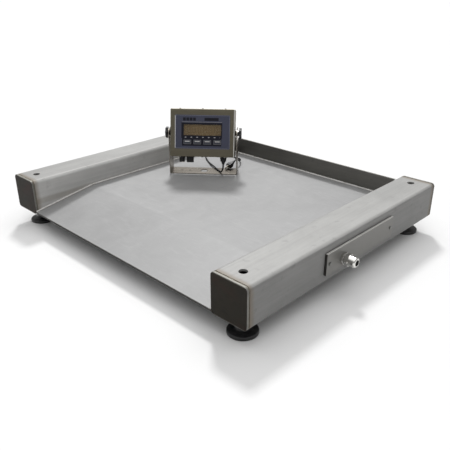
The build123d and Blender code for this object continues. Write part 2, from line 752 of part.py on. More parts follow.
with BuildPart() as power_supply:
    with BuildSketch(plane(case, (0, case_depth / 2 - case_sheet, 0), FRONT)):
        with Locations((60, 25)):
            Rectangle(95, 60)
    extrude(amount=3)
    with BuildSketch(plane(case, (0, case_depth / 2 - case_sheet - 3, 0), FRONT)):
        with Locations((38, 25)):
            Rectangle(36, 42)
        with Locations((80, 36), (80, 12)):
            Circle(9)
    extrude(amount=30)
save(power_supply, "power_supply")

# ---- knobs ------------------------------------------------------------------------------
arm_outside = stand_width / 2
washer_thick = 2.0
for side_name, side in SIDES.items():
    facing = RIGHT if side > 0 else LEFT
    arm_face = plane(case, (side * arm_outside, 0, 0), facing)
    with BuildPart() as knob_washer:
        with BuildSketch(plane(arm_face, (0, 0, 0.1))):
            Circle(washer_radius)
            Circle(stud_radius + 2 * fit_gap, mode=Mode.SUBTRACT)
        extrude(amount=washer_thick)
    save(knob_washer, f"knob_washer_{side_name}")

    with BuildPart() as knob:
        hub = washer_thick + 0.2
        with BuildSketch(plane(arm_face, (0, 0, hub))):
            Circle(10)
        extrude(amount=6)
        with BuildSketch(plane(arm_face, (0, 0, hub + 5))) as star:
            Circle(knob_radius - 3)
            with PolarLocations(knob_radius - 7, 7):
                Circle(7)
            fillet(star.vertices(), 2)
        extrude(amount=knob_thick)
        fillet(
            knob.faces().filter_by(
                lambda f: side * case.to_local_coords(f.center()).X
                > arm_outside + hub + 5 + knob_thick - 0.01
            ).edges(),
            2,
        )
        with BuildSketch(plane(arm_face, (0, 0, hub))):
            Circle(stud_radius - fit_gap)
        extrude(amount=-(hub + arm_outside - case_width / 2 + 14))
    save(knob, f"knob_{side_name}")

# ---- power cord outlet, blank gland and connector under the case ------------------------
outlet = plane(case, (outlet_x, 0, -body_height / 2), DOWN)
relief_length = 32.0
with BuildPart() as power_gland:
    with BuildSketch(outlet):
        RegularPolygon(12, 6, major_radius=False)
    extrude(amount=7)
    with BuildSketch(plane(outlet, (0, 0, 7))):
        Circle(13)
    with BuildSketch(plane(outlet, (0, 0, 20))):
        Circle(11.5)
    loft()
    with BuildSketch(plane(outlet, (0, 0, 20))):
        Circle(8.5)
    with BuildSketch(plane(outlet, (0, 0, relief_length))):
        Circle(4.6)
    loft()
    with BuildSketch(outlet):
        Circle(7.8)
    extrude(amount=-10)
save(power_gland, "power_gland")

with BuildPart() as blank_gland:
    blank = plane(case, (-blank_x, 0, -body_height / 2), DOWN)
    with BuildSketch(blank):
        RegularPolygon(11, 6, major_radius=False)
    extrude(amount=8)
    with BuildSketch(plane(blank, (0, 0, 8))):
        Circle(11)
    extrude(amount=18)
    fillet(blank_gland.faces().sort_by(Axis.Z)[0].edges(), 4)
    with BuildSketch(blank):
        Circle(7.8)
    extrude(amount=-10)
save(blank_gland, "blank_gland")

with BuildPart() as sensor_connector:
    socket = plane(case, (-connector_x, 0, -body_height / 2), DOWN)
    with BuildSketch(socket):
        Circle(16)
    extrude(amount=6)
    with BuildSketch(plane(socket, (0, 0, 6))) as ring:
        Circle(14.5)
        with PolarLocations(15, 18):
            Circle(1.4, mode=Mode.SUBTRACT)
    extrude(amount=20)
    with BuildSketch(socket):
        Circle(11.8)
    extrude(amount=-12)
save(sensor_connector, "sensor_connector")

# ---- power cord -------------------------------------------------------------------------
# Routes are in the stand's axes: x along the bracket, y backwards, z up from the deck.
on_base = stand_sheet + cord_radius + 0.2
on_deck = cord_radius + 0.2
coil_x, coil_y = coil_at
cord_route = [
    (82.0, -32.2, 41.9),
    (82.0, -34.5, 33.2),
    (80.0, -35.2, 21.3),
    (75.5, -30.4, 11.2),
    (69.9, -21.0, on_base),
    (58.0, 0.5, on_base),
    (44.0, 25.0, on_base + 1.5),
    (27.0, 58.0, on_deck + 4.0),
    (8.0, 100.0, on_deck),
    (-8.0, 144.0, on_deck),
    (-19.0, 188.0, on_deck),
    (-17.0, 232.0, on_deck),
    (8.0, 264.0, on_deck),
    (coil_x - 14, coil_y + coil_radius + 3, on_deck + 1.5),
]
plug_back = (120.1, 59.4, 26.6)
plug_turn = -36.9  # the pins point forwards and to the left
plug_dip = 20.0  # and down to the bracket's base
plug_route = [
    (coil_x + coil_radius + 2, coil_y - 4, on_deck + 9.0),
    (100.0, coil_y - 30, on_deck + 3.7),
    (112.0, coil_y - 54, on_deck),
    (130.0, coil_y - 82, on_deck),
    (141.0, coil_y - 108, on_deck + 2.7),
    (142.0, coil_y - 132, 20.0),
    (136.0, coil_y - 152, 31.6),
    (128.0, 70.0, 31.4),
    plug_back,
]

def bend_radii(points):
    """As large an arc at each corner as the two runs beside it allow."""
    radii = []
    for before, corner, after in zip(points, points[1:], points[2:]):
        arriving = Vector(corner) - Vector(before)
        leaving = Vector(after) - Vector(corner)
        turn = radians(arriving.get_angle(leaving))
        radii.append(0.45 * min(arriving.length, leaving.length) / tan(turn / 2))
    return radii


def cord_tube(points, name):
    placed = [stand.from_local_coords(Vector(p)) for p in points]
    radii = bend_radii(placed)
    with BuildPart() as tube_part:
        with BuildLine() as route:
            FilletPolyline(*placed, radius=radii)
        with BuildSketch(route.line ^ 0):
            Circle(cord_radius)
        sweep(path=route.line)
    length = route.wire().length
    print(name, "radii", [round(r) for r in radii], "length", round(length))
    print(name, "volume ratio", round(tube_part.part.volume / (pi * cord_radius**2 * length), 4))
    save(tube_part, name)


cord_tube(cord_route, "power_cord")
cord_tube(plug_route, "plug_lead")

with BuildPart() as cord_coil:
    with BuildSketch(plane(stand, (coil_x, coil_y, 0.2))):
        Circle(coil_radius + 2.1 * cord_radius)
        Circle(coil_radius - 2.1 * cord_radius, mode=Mode.SUBTRACT)
    extrude(amount=6.2 * cord_radius)
    fillet(cord_coil.edges().filter_by(GeomType.CIRCLE), 2.5)
save(cord_coil, "cord_coil")

# ---- plug -------------------------------------------------------------------------------
plug_line = Plane(
    stand.location * Location(plug_back, (0, 0, plug_turn)) * Location((0, 0, 0), (90 + plug_dip, 0, 0))
)
with BuildPart() as plug_body:
    with BuildSketch(plug_line):
        Circle(4.4)
    with BuildSketch(plane(plug_line, (0, 0, 12))):
        Circle(6)
    loft()
    with BuildSketch(plane(plug_line, (0, 0, 12))):
        RectangleRounded(15, 12, 5)
    with BuildSketch(plane(plug_line, (0, 0, 26))):
        RectangleRounded(26, 18, 5)
    loft()
    with BuildSketch(plane(plug_line, (0, 0, 26))):
        RectangleRounded(26, 18, 5)
    extrude(amount=12)
save(plug_body, "plug_body")

with BuildPart() as plug_pins:
    with BuildSketch(plane(plug_line, (0, 0, 38))):
        with Locations((-6.35, -2), (6.35, -2)):
            Rectangle(1.5, 6.3)
    extrude(amount=16)
    with BuildSketch(plane(plug_line, (0, 0, 38))):
        with Locations((0, 5)):
            Circle(2.4)
    extrude(amount=19)
save(plug_pins, "plug_pins")
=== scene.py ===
import json
import math

import bpy
from bpy.props import FloatProperty, FloatVectorProperty, IntProperty, PointerProperty
from mathutils import Matrix, Vector


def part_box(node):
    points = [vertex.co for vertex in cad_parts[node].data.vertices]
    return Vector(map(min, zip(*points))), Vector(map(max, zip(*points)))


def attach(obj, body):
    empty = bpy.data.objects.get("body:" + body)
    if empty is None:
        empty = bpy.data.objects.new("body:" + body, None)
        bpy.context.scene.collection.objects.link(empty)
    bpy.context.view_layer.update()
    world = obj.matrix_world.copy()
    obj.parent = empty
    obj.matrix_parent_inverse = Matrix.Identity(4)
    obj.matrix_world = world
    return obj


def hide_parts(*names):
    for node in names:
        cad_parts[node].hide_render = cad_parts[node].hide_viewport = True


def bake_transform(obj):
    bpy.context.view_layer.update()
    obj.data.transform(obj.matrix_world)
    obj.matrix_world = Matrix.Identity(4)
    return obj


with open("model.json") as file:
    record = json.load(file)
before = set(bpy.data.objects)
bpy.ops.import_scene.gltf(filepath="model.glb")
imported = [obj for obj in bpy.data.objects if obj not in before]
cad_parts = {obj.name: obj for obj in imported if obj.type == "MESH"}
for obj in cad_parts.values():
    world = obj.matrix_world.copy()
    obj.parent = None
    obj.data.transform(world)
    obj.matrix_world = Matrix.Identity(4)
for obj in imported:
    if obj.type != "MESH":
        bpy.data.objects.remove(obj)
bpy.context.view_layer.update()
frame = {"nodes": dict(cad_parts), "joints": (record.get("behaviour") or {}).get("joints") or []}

bl_info = {
    "name": "Pallet scale",
    "version": (1, 0, 0),
    "blender": (4, 5, 0),
    "location": "3D View > Sidebar > Pallet Scale",
    "description": "Finishes and small parts of a low stainless pallet scale",
    "category": "Add Mesh",
}

CORNERS = [f"{end}_{side}" for end in ("front", "back") for side in ("left", "right")]

# Places in the frame, in metres.
DECK_LOW, DECK_HIGH = (Vector(corner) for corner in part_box("deck_plate"))
WALL_LOW, WALL_HIGH = (Vector(corner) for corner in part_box("back_wall"))
TUBE_LOW, TUBE_HIGH = (Vector(corner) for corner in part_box("left_tube"))
RIGHT_TUBE_HIGH = Vector(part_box("right_tube")[1])
DECK_MIDDLE = (DECK_LOW.x + DECK_HIGH.x) / 2
DECK_HALF = (DECK_HIGH.x - DECK_LOW.x) / 2
COVER_LOW, COVER_HIGH = (Vector(corner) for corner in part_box("junction_cover"))
STAND_LOW, STAND_HIGH = (Vector(corner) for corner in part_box("stand_bracket"))
TILT = next(joint for joint in frame["joints"] if joint["name"] == "case_tilt")
ACROSS = Vector(TILT["axis"]).normalized()
STAND = Matrix.Translation(
    ((STAND_LOW.x + STAND_HIGH.x) / 2, (STAND_LOW.y + STAND_HIGH.y) / 2, STAND_LOW.z)
) @ Matrix.Rotation(math.atan2(ACROSS.y, ACROSS.x), 4, "Z")

# The case's own axes start at its pivot; it leans back from upright in the stored pose.
LEAN = math.radians(15)
CASE_WIDTH = 0.258
CASE = (
    Matrix.Translation(TILT["pos_m"])
    @ STAND.to_3x3().to_4x4()
    @ Matrix.Rotation(-LEAN, 4, "X")
)

# Rectangles on the case's front: centre and size, across and up, in metres; all are print except
# the strip of painted highlight along the film's left edge. The last two are on each key, across
# from its own middle.
FILM_FIELD = ((0.0, 0.004), (0.220, 0.133))
FILM_WINDOW = ((-0.0025, 0.0095), (0.163, 0.061))
FILM_KEY_BAND = ((-0.0025, -0.036), (0.158, 0.0300))
FILM_BAR = ((0.0360, 0.0535), (0.056, 0.0120))
FILM_BAR_ROW = ((-0.0515, 0.0535), (0.052, 0.0120))
FILM_LINE = ((-0.0025, 0.0425), (0.160, 0.0012))
FILM_MARKS = ((0.0, -0.0172), (0.140, 0.0030))
FILM_PAINTED_HIGHLIGHT = ((-0.1090, 0.0040), (0.0018, 0.127))
KEY_FACE = ((0.0, -0.036), (0.031, 0.018))
KEY_BAR = ((0.0, -0.0335), (0.019, 0.0032))

# Colours that the finishes mix in, as linear red, green and blue.
HEAT_STRAW = (0.17, 0.125, 0.075)
HEAT_BROWN = (0.20, 0.165, 0.12)
HEAT_DECK = (0.23, 0.19, 0.145)
WELD_OXIDE = (0.20, 0.15, 0.09)
CAP_RUST = (0.030, 0.015, 0.011)
CAP_GROUND_EDGE = (0.22, 0.215, 0.20)
CAP_PALE_EDGE_BAND = (0.34, 0.33, 0.30)
PAINTED_SHADE_LIP = (0.045, 0.042, 0.038)
PAINTED_SHADE_END = (0.03, 0.028, 0.025)
PAINTED_HIGHLIGHT_COVER = (0.50, 0.49, 0.47)
PAINTED_HIGHLIGHT_CASE = (0.78, 0.77, 0.74)
PAINTED_HIGHLIGHT_CASE_FAR = (0.42, 0.40, 0.34)
DUST = (0.16, 0.155, 0.15)
RUBBER_BLOOM = (0.10, 0.10, 0.10)
NICKEL = (0.74, 0.73, 0.70)
ZINC = (0.42, 0.42, 0.40)
BOARD_GREEN, PAD_TIN = (0.016, 0.11, 0.05), (0.55, 0.55, 0.50)
PRINT_BORDER, PRINT_LINE = (0.30, 0.31, 0.36), (0.30, 0.30, 0.32)
PRINT_DARK, PRINT_MARK = (0.005, 0.005, 0.012), (0.45, 0.44, 0.46)
PAINTED_HIGHLIGHT_WHITE, KEY_MARK = (0.80, 0.80, 0.80), (0.62, 0.62, 0.62)
WINDOW_AMBER = (0.35, 0.30, 0.20)


# ---- sizes and colours a user would change -----------------------------------------------
def colour(name, default, description):
    return FloatVectorProperty(
        name=name, description=description, default=default,
        subtype="COLOR", size=3, min=0, max=1,
    )


def number(name, default, description, **options):
    return FloatProperty(name=name, description=description, default=default, **options)


def length(name, default, description):
    return number(name, default, description, unit="LENGTH", subtype="DISTANCE", min=0)


def share(name, default, description):
    return number(name, default, description, subtype="FACTOR", min=0, max=1)


def angle(name, degrees, description):
    return number(name, math.radians(degrees), description, subtype="ANGLE")


class PlatformSettings(bpy.types.PropertyGroup):
    tube_colour: colour("Tube", (0.33, 0.328, 0.32), "Mill finish of the two side tubes")
    # The end caps' very dark colour is painted shade for ends that face away from the key light.
    cap_shade_colour: colour("End caps", (0.019, 0.016, 0.011), "Heat-darkened ends of the tubes")
    deck_colour: colour("Deck", (0.272, 0.272, 0.272), "Satin plate of the deck and ramp")
    wall_colour: colour("Stop wall", (0.20, 0.195, 0.18), "Hot-rolled finish of the stop wall")
    cover_colour: colour("Junction cover", (0.185, 0.181, 0.170), "Brushed cover on the side")
    # The outer setting darkens the tubes' outer faces as painted shade.
    outer_painted_shade: share("Outer painted shade", 0.34, "How much darker the unpolished outer faces are")
    # The inner setting brightens the tubes' inner faces as painted light, standing for the deck's
    # reflection.
    inner_painted_light: share("Inner painted light", 0.60, "How much brighter the rubbed inner faces are")
    ramp_run: length("Ramp run", 0.245, "Length of the sloping part of the deck")
    lip_top: length("Ramp lip", 0.066, "Height of the ramp's front edge above the floor")


class WeldSettings(bpy.types.PropertyGroup):
    pitch: length("Ripple pitch", 0.0031, "Distance from one weld ripple to the next")
    fillet: length("Fillet size", 0.0034, "Half width of the seams along the deck")
    groove: length("Groove seam size", 0.0027, "Half width of the seams round the end caps")
    seed: IntProperty(name="Seed", description="Changes how the ripples vary", default=7, min=0)
    weld_colour: colour("Weld metal", (0.72, 0.71, 0.69), "Bright bead of the seams")
    groove_colour: colour("Tinted weld", (0.20, 0.185, 0.15), "Heat-tinted bead round the end caps")


class FeetSettings(bpy.types.PropertyGroup):
    pad_colour: colour("Foot", (0.012, 0.012, 0.013), "Moulded foot pads")
    thread_pitch: length("Thread pitch", 0.002, "Rise of the foot stem's thread in one turn")


class IndicatorSettings(bpy.types.PropertyGroup):
    case_colour: colour("Case", (0.19, 0.172, 0.128), "Brushed sheet of the case")
    bracket_colour: colour("Stand", (0.30, 0.272, 0.235), "Bright sheet of the stand")
    film_colour: colour("Front film", (0.062, 0.066, 0.100), "Printed film on the front")
    band_colour: colour("Key band", (0.006, 0.006, 0.014), "Dark panel behind the keys and window")
    key_colour: colour("Keys", (0.045, 0.048, 0.062), "Pressed pads of the four keys")
    display_colour: colour("Display", (0.155, 0.098, 0.040), "Unlit amber display")
    digits: IntProperty(
        name="Digits", description="Figures in the display", default=6, min=1, max=8
    )


class CordSettings(bpy.types.PropertyGroup):
    cord_length: length("Length", 1.8, "Length of the power cord from gland to plug")
    radius: length("Radius", 0.0031, "Half the thickness of the cord")
    jacket_colour: colour("Jacket", (0.009, 0.009, 0.010), "Cord, plug and moulded fittings")


class StageSettings(bpy.types.PropertyGroup):
    floor_colour: colour("Floor", (0.75, 0.75, 0.75), "Plain floor")
    key_strength: number("Key light", 1.7, "Strength of the key light")
    key_size: angle("Key size", 9, "Angle of the key light")
    fill: number("Fill", 0.22, "Strength of the even light all round")
    overhead: number("Overhead", 1.85, "Strength of the soft light from above")
    eye: FloatVectorProperty(
        name="Camera", description="Where the camera stands",
        default=(1.3152, -1.3334, 0.8784), subtype="XYZ",
    )
    azimuth: angle("Azimuth", 44.56, "Turn round the scale")
    elevation: angle("Elevation", 24.991, "Height angle")
    roll: angle("Roll", -0.296, "Turn about the view line")
    lens: number("Lens", 44.506, "Focal length, in millimetres")


# ---- node trees written as Python maths ---------------------------------------------------
class Signal:
    """A node's output. Arithmetic on it adds Math nodes."""

    def __init__(self, tree, socket):
        self.tree, self.socket = tree, socket

    def _math(self, operation, *values):
        return self.tree.node("ShaderNodeMath", {"operation": operation}, dict(enumerate(values)))

    def __add__(self, other):
        return self._math("ADD", self, other)

    def __sub__(self, other):
        return self._math("SUBTRACT", self, other)

    def __rsub__(self, other):
        return self._math("SUBTRACT", other, self)

    def __mul__(self, other):
        return self._math("MULTIPLY", self, other)

    def __mod__(self, other):
        return self._math("FLOORED_MODULO", self, other)

    def __pow__(self, other):
        return self._math("POWER", self, other)

    def __abs__(self):
        return self._math("ABSOLUTE", self)

    def __gt__(self, other):
        return self._math("GREATER_THAN", self, other)

    def __lt__(self, other):
        return self._math("LESS_THAN", self, other)

    __radd__, __rmul__ = __add__, __mul__

    def top(self, other):
        return self._math("MAXIMUM", self, other)

    def sine(self):
        return self._math("SINE", self)

    def spread(self, amount):
        """A noise moved to vary about 0, by this much from its lowest to its highest."""
        return (self - 0.5) * amount

    def ramp(self, low, high):
        """0 below low, 1 above high, smooth between."""
        return self.tree.node(
            "ShaderNodeMapRange",
            {"interpolation_type": "SMOOTHSTEP"},
            {0: self, 1: low, 2: high, 3: 0.0, 4: 1.0},
        )


class Tree:
    """A node tree that is being built."""

    def __init__(self, nodes):
        self.nodes = nodes

    def node(self, kind, settings=None, inputs=None, output=0):
        made = self.nodes.nodes.new(kind)
        for name, value in (settings or {}).items():
            setattr(made, name, value)
        for key, value in (inputs or {}).items():
            if isinstance(value, Signal):
                self.nodes.links.new(value.socket, made.inputs[key])
            else:
                made.inputs[key].default_value = value
        return Signal(self, made.outputs[output]) if made.outputs else None


class Finish(Tree):
    """A surface finish: a material whose patterns are in metres on the object itself."""

    def __init__(self, name, base=None):
        self.material = bpy.data.materials.new(name)
        self.material.use_nodes = True
        super().__init__(self.material.node_tree)
        self.nodes.nodes.clear()
        self.place = self.node("ShaderNodeTexCoord", output=3)
        if base is not None:
            self.place = self.node(
                "ShaderNodeMapping",
                {"vector_type": "TEXTURE"},
                {0: self.place, 1: base.to_translation(), 2: base.to_euler("XYZ")},
            )

    def axes(self):
        inputs = {0: self.place}
        return [self.node("ShaderNodeSeparateXYZ", inputs=inputs, output=i) for i in range(3)]

    def noise(self, stretch, detail=3.0, rough=0.5, warp=0.0):
        if isinstance(stretch, (int, float)):
            stretch = (stretch,) * 3
        inputs = {0: self.place, 1: stretch}
        at = self.node("ShaderNodeVectorMath", {"operation": "MULTIPLY"}, inputs)
        settings = {"noise_dimensions": "3D"}
        inputs = {"Vector": at, "Scale": 1.0, "Detail": detail}
        inputs.update({"Roughness": rough, "Distortion": warp})
        return self.node("ShaderNodeTexNoise", settings, inputs)

    def brush_lines(self, along):
        """Finest brush marks, drawn along one axis."""
        return self.noise(grain(along, 1500, 14), 2)

    def brush_bands(self, along):
        """Broader bands between the brush marks."""
        return self.noise(grain(along, 130, 3.5), 3)

    def mix(self, factor, a, b):
        a, b = (tone if isinstance(tone, Signal) else (*tone[:3], 1.0) for tone in (a, b))
        return self.node("ShaderNodeMix", {"data_type": "RGBA"}, {0: factor, 6: a, 7: b}, output=2)

    def shade(self, tone, amount):
        """A colour made lighter or darker."""
        if not isinstance(tone, Signal):
            tone = tuple(tone)[:3]
        return self.node("ShaderNodeVectorMath", {"operation": "SCALE"}, {0: tone, 3: amount})

    def bump(self, height, depth):
        inputs = {"Strength": 1.0, "Distance": depth, "Height": height}
        return self.node("ShaderNodeBump", inputs=inputs)

    def surface(self, **sockets):
        """Ends the tree in one shader; an underscore in a socket's name stands for a space."""
        inputs = {name.replace("_", " "): value for name, value in sockets.items()}
        tone = inputs.get("Base Color")
        if tone is not None and not isinstance(tone, Signal) and len(tone) == 3:
            inputs["Base Color"] = (*tone, 1.0)
        shader = self.node("ShaderNodeBsdfPrincipled", inputs=inputs)
        self.node("ShaderNodeOutputMaterial", inputs={0: shader})
        return self.material


def dress(material, *nodes):
    """Gives a material to pieces of the frame."""
    for name in nodes:
        for place in frame["nodes"][name].material_slots:
            place.material = material


# ---- finishes -----------------------------------------------------------------------------
def grain(along, fine, coarse):
    """Stretch of a brushed pattern: long along one axis, fine across it."""
    return tuple(coarse if axis == along else fine for axis in range(3))


def brushed_steel(name, tone, along=1, base=None, gloss=(0.30, 0.46), depth=1.0, stain=0.10):
    """Metal brushed along one axis, with handling clouds; gloss is its range of roughness."""
    finish = Finish(name, base)
    lines = finish.brush_lines(along)
    bands = finish.brush_bands(along)
    clouds = finish.noise(7, 5, 0.62, 0.6)
    spots = finish.noise(75, 2, 0.4).ramp(0.68, 0.78)
    level = 1 + lines.spread(0.16) * depth + bands.spread(0.22) * depth
    level = level + clouds.spread(2) * stain - spots * stain * 0.7
    rough = gloss[0] + (gloss[1] - gloss[0]) * (clouds * 0.6 + bands * 0.4) + spots * 0.08
    return finish.surface(
        Base_Color=finish.shade(tone, level),
        Metallic=1.0,
        Roughness=rough,
        Normal=finish.bump(lines + bands * 0.5, 0.00004 * depth),
    )


def tube_steel(settings):
    """Mill finish drawn along the tube, with straw and brown heat tint by the welded ends; painted
    shade darkens its outer faces, painted light brightens its inner faces and a painted highlight
    runs along its upper outer corner.
    """
    finish = Finish("tube_mill_finish")
    x, y, z = finish.axes()
    lines = finish.noise((1300, 10, 1300), 2)
    bands = finish.noise((95, 2.4, 95), 4, 0.6)
    clouds = finish.noise((9, 5, 9), 5, 0.65, 0.8)
    scuffs = finish.noise((420, 26, 420), 2, 0.5, 1.2).ramp(0.66, 0.72)
    worn = finish.noise(38, 3, 0.5).ramp(0.62, 0.74)
    tube_end, below_deck = TUBE_HIGH.y, 0.004
    heat = (abs(y) + clouds.spread(0.02)).ramp(tube_end - 0.020, tube_end - 0.001)
    seam = 1 - abs(z - DECK_HIGH.z + below_deck).ramp(0.004, 0.016)
    seam = seam * (abs(x - DECK_MIDDLE) < DECK_HALF + 0.002)
    level = 1 + lines.spread(0.14) + bands.spread(0.30) + clouds.spread(0.46)
    level = level - worn * 0.10 + scuffs * 0.10
    # outer masks the outer faces for painted shade, inner masks the faces over the deck for painted
    # light.
    across = abs(x - (TUBE_LOW.x + RIGHT_TUBE_HIGH.x) / 2)
    outside = (RIGHT_TUBE_HIGH.x - TUBE_LOW.x) / 2
    outer = across.ramp(outside - 0.0030, outside - 0.0004)
    inner = 1 - across.ramp(DECK_HALF + 0.001, DECK_HALF + 0.007)
    # Painted highlight along the upper outer rounded corner of each tube.
    corner_highlight = across.ramp(outside - 0.016, outside - 0.008)
    corner_highlight = corner_highlight * z.ramp(TUBE_HIGH.z - 0.010, TUBE_HIGH.z - 0.004)
    nicks = finish.noise((60, 210, 130), 2, 0.5, 2.4).ramp(0.70, 0.74)
    # Painted shade on the outer faces and painted light on the inner faces.
    level = level * (1 - outer * settings.outer_painted_shade) * (1 + inner * settings.inner_painted_light)
    level = level * (1 + corner_highlight * 0.14) - nicks * 0.05
    tone = finish.mix(heat * 0.55, finish.shade(settings.tube_colour, level), HEAT_STRAW)
    tone = finish.mix(seam * 0.35, tone, HEAT_BROWN)
    rough = 0.46 + clouds * 0.16 + worn * 0.08 - scuffs * 0.06
    return finish.surface(
        Base_Color=tone,
        Metallic=0.16,
        Specular_IOR_Level=0.25,
        Roughness=rough,
        Normal=finish.bump(lines + bands + scuffs * 0.6, 0.00005),
    )


def cap_steel(settings):
    """Sawn plate whose very dark tone is painted shade, with rust blotches, its edge ground bright
    and its face paler along the top and bottom edges.
    """
    finish = Finish("cap_heat_darkened")
    _, y, z = finish.axes()
    middle = (TUBE_LOW.z + TUBE_HIGH.z) / 2
    half = (TUBE_HIGH.z - TUBE_LOW.z) / 2
    lines = finish.noise((26, 1100, 1100), 2)
    clouds = finish.noise(16, 5, 0.65, 1.0)
    blotch = finish.noise((34, 34, 60), 3, 0.6).ramp(0.50, 0.70)
    rim = abs(y).ramp(TUBE_HIGH.y + 0.0100, TUBE_HIGH.y + 0.0106)
    face_edge = abs(z - middle).ramp(half - 0.0035, half - 0.001)
    level = 1 + lines.spread(0.24) + clouds.spread(1.1) - blotch * 0.16
    rust = finish.noise(11, 4, 0.6, 0.5).ramp(0.46, 0.64)
    # The dark plate tone is painted shade; the rust blotches mixed into it are the plate's own
    # colour.
    tone = finish.mix(rust * 0.7, settings.cap_shade_colour, CAP_RUST)
    tone = finish.shade(tone, level)
    tone = finish.mix(1 - rim, tone, finish.shade(CAP_GROUND_EDGE, level))
    # Paler along the top and bottom edges of the cap's face.
    tone = finish.mix(face_edge * 0.35, tone, CAP_PALE_EDGE_BAND)
    return finish.surface(
        Base_Color=tone,
        Metallic=0.6,
        Specular_IOR_Level=0.25,
        Roughness=0.46 + clouds * 0.22,
        Normal=finish.bump(lines + clouds, 0.00008),
    )


def deck_steel(settings):
    """Satin plate with faint roller marks, handling clouds, wheel tracks and painted shade on the
    front lip's edge face.
    """
    finish = Finish("deck_satin_plate")
    x, y, _ = finish.axes()
    fine = finish.noise(900, 2, 0.6)
    lines = finish.noise((16, 1100, 1100), 2)
    clouds = finish.noise(5, 6, 0.66, 0.9)
    patches = finish.noise((17, 11, 17), 3, 0.5, 0.7)
    swipes = finish.noise((12, 60, 12), 4, 0.6, 1.5).ramp(0.52, 0.70)
    tracks = finish.noise((90, 2.2, 20), 3, 0.55, 0.4).ramp(0.60, 0.72)
    seam = (abs(x - DECK_MIDDLE) - DECK_HALF + 0.016).ramp(0.004, 0.016)
    lip = 1 - (y - DECK_LOW.y).ramp(0.0015, 0.012)
    level = 1 + fine.spread(0.12) + lines.spread(0.10) + clouds.spread(0.40)
    level = level + patches.spread(0.14) + swipes * 0.06 - tracks * 0.06 + lip * 0.06
    tone = finish.mix(seam * 0.4, finish.shade(settings.deck_colour, level), HEAT_DECK)
    # Painted shade on the deck's front edge face, which faces away from the key light.
    tone = finish.mix(y < DECK_LOW.y + 0.0004, tone, finish.shade(PAINTED_SHADE_LIP, level))
    return finish.surface(
        Base_Color=tone,
        Metallic=0.30,
        Roughness=0.50 + clouds * 0.16 - tracks * 0.05,
        Normal=finish.bump(fine + lines * 0.6 + clouds, 0.00006),
    )


def moulded_plastic(name, tone, texture=1800, base=None, gloss=0.45, rings=None):
    """Moulded plastic: fine spark texture and dusty clouds, ribbed at the pitch of its rings."""
    finish = Finish(name, base)
    pits = finish.noise(texture, 2, 0.6)
    dust = finish.noise(60, 4, 0.6).ramp(0.45, 0.75)
    height = pits
    if rings is not None:
        height = height * 0.4 + (finish.axes()[2] * (2 * math.pi / rings)).sine() * 2
    tone = finish.mix(dust * 0.10, finish.shade(tone, 0.9 + pits * 0.2), DUST)
    return finish.surface(
        Base_Color=tone,
        Roughness=gloss + dust * 0.14 + pits.spread(0.12),
        Normal=finish.bump(height, 0.00007),
    )


def rubber(name, tone):
    """Dull rubber or cable jacket, with a pale bloom."""
    finish = Finish(name)
    pits = finish.noise(1400, 3, 0.6)
    bloom = finish.noise(45, 4, 0.6)
    tone = finish.shade(tone, 0.85 + pits * 0.3)
    return finish.surface(
        Base_Color=finish.mix(bloom.ramp(0.45, 0.8) * 0.22, tone, RUBBER_BLOOM),
        Roughness=0.58 + bloom * 0.2,
        Normal=finish.bump(pits, 0.00005),
    )


def cover_steel(settings):
    """Brushed sheet with a painted highlight along its upper edge and painted shade on its front
    end.
    """
    finish = Finish("cover_brushed")
    _, y, z = finish.axes()
    lines = finish.brush_lines(1)
    clouds = finish.noise(12, 5, 0.62, 0.6)
    level = 1 + lines.spread(0.20) + clouds.spread(0.24)
    highlight_upper_edge = z.ramp(COVER_HIGH.z - 0.0022, COVER_HIGH.z - 0.0008)
    shaded_front_end = 1 - y.ramp(COVER_LOW.y + 0.0006, COVER_LOW.y + 0.0016)
    # Painted highlight along the cover's upper edge.
    tone = finish.mix(highlight_upper_edge, finish.shade(settings.cover_colour, level), PAINTED_HIGHLIGHT_COVER)
    # Painted shade on the cover's front end.
    tone = finish.mix(shaded_front_end, tone, PAINTED_SHADE_END)
    return finish.surface(
        Base_Color=tone,
        Metallic=0.35,
        Roughness=0.34 + clouds * 0.14,
        Normal=finish.bump(lines + clouds * 0.5, 0.00005),
    )


def nickel_plate():
    """Bright plated gland, with fine turning lines round its axis."""
    finish = Finish("gland_nickel_plate")
    lines = finish.noise((2200, 40, 40), 2)
    clouds = finish.noise(90, 4, 0.6)
    tone = finish.shade(NICKEL, 0.9 + clouds * 0.2)
    return finish.surface(
        Base_Color=tone,
        Metallic=1.0,
        Roughness=0.10 + clouds * 0.14,
        Normal=finish.bump(lines + clouds, 0.00002),
    )


def zinc_thread(settings):
    """Plated stem, with its thread cut as fine rings above the nut; the rings also paint shade in
    the grooves and highlight on the crests.
    """
    finish = Finish("stem_zinc_plate")
    _, _, z = finish.axes()
    thread_start = 0.0435
    clouds = finish.noise(120, 4, 0.6)
    groove = (z * (2 * math.pi / settings.thread_pitch)).sine() * (z > thread_start)
    return finish.surface(
        # The thread rings also change the colour: painted shade in the grooves and painted
        # highlight on the crests.
        Base_Color=finish.shade(ZINC, 0.8 + clouds * 0.4 + groove * 0.12),
        Metallic=1.0,
        Roughness=0.28 + clouds * 0.2,
        Normal=finish.bump(groove + clouds * 0.3, 0.0004),
    )


def circuit_board(name, base=None):
    """Green lacquered board with tinned pads."""
    finish = Finish(name, base)
    cells = finish.node(
        "ShaderNodeTexVoronoi", {"distance": "MANHATTAN"}, {"Vector": finish.place, "Scale": 260.0}
    )
    pads = 1 - cells.ramp(0.16, 0.22)
    weave = finish.noise(1500, 2)
    return finish.surface(
        Base_Color=finish.mix(pads, finish.shade(BOARD_GREEN, 0.8 + weave * 0.4), PAD_TIN),
        Metallic=pads * 0.8,
        Roughness=0.34 + weave * 0.14,
        Normal=finish.bump(pads + weave * 0.2, 0.0001),
    )


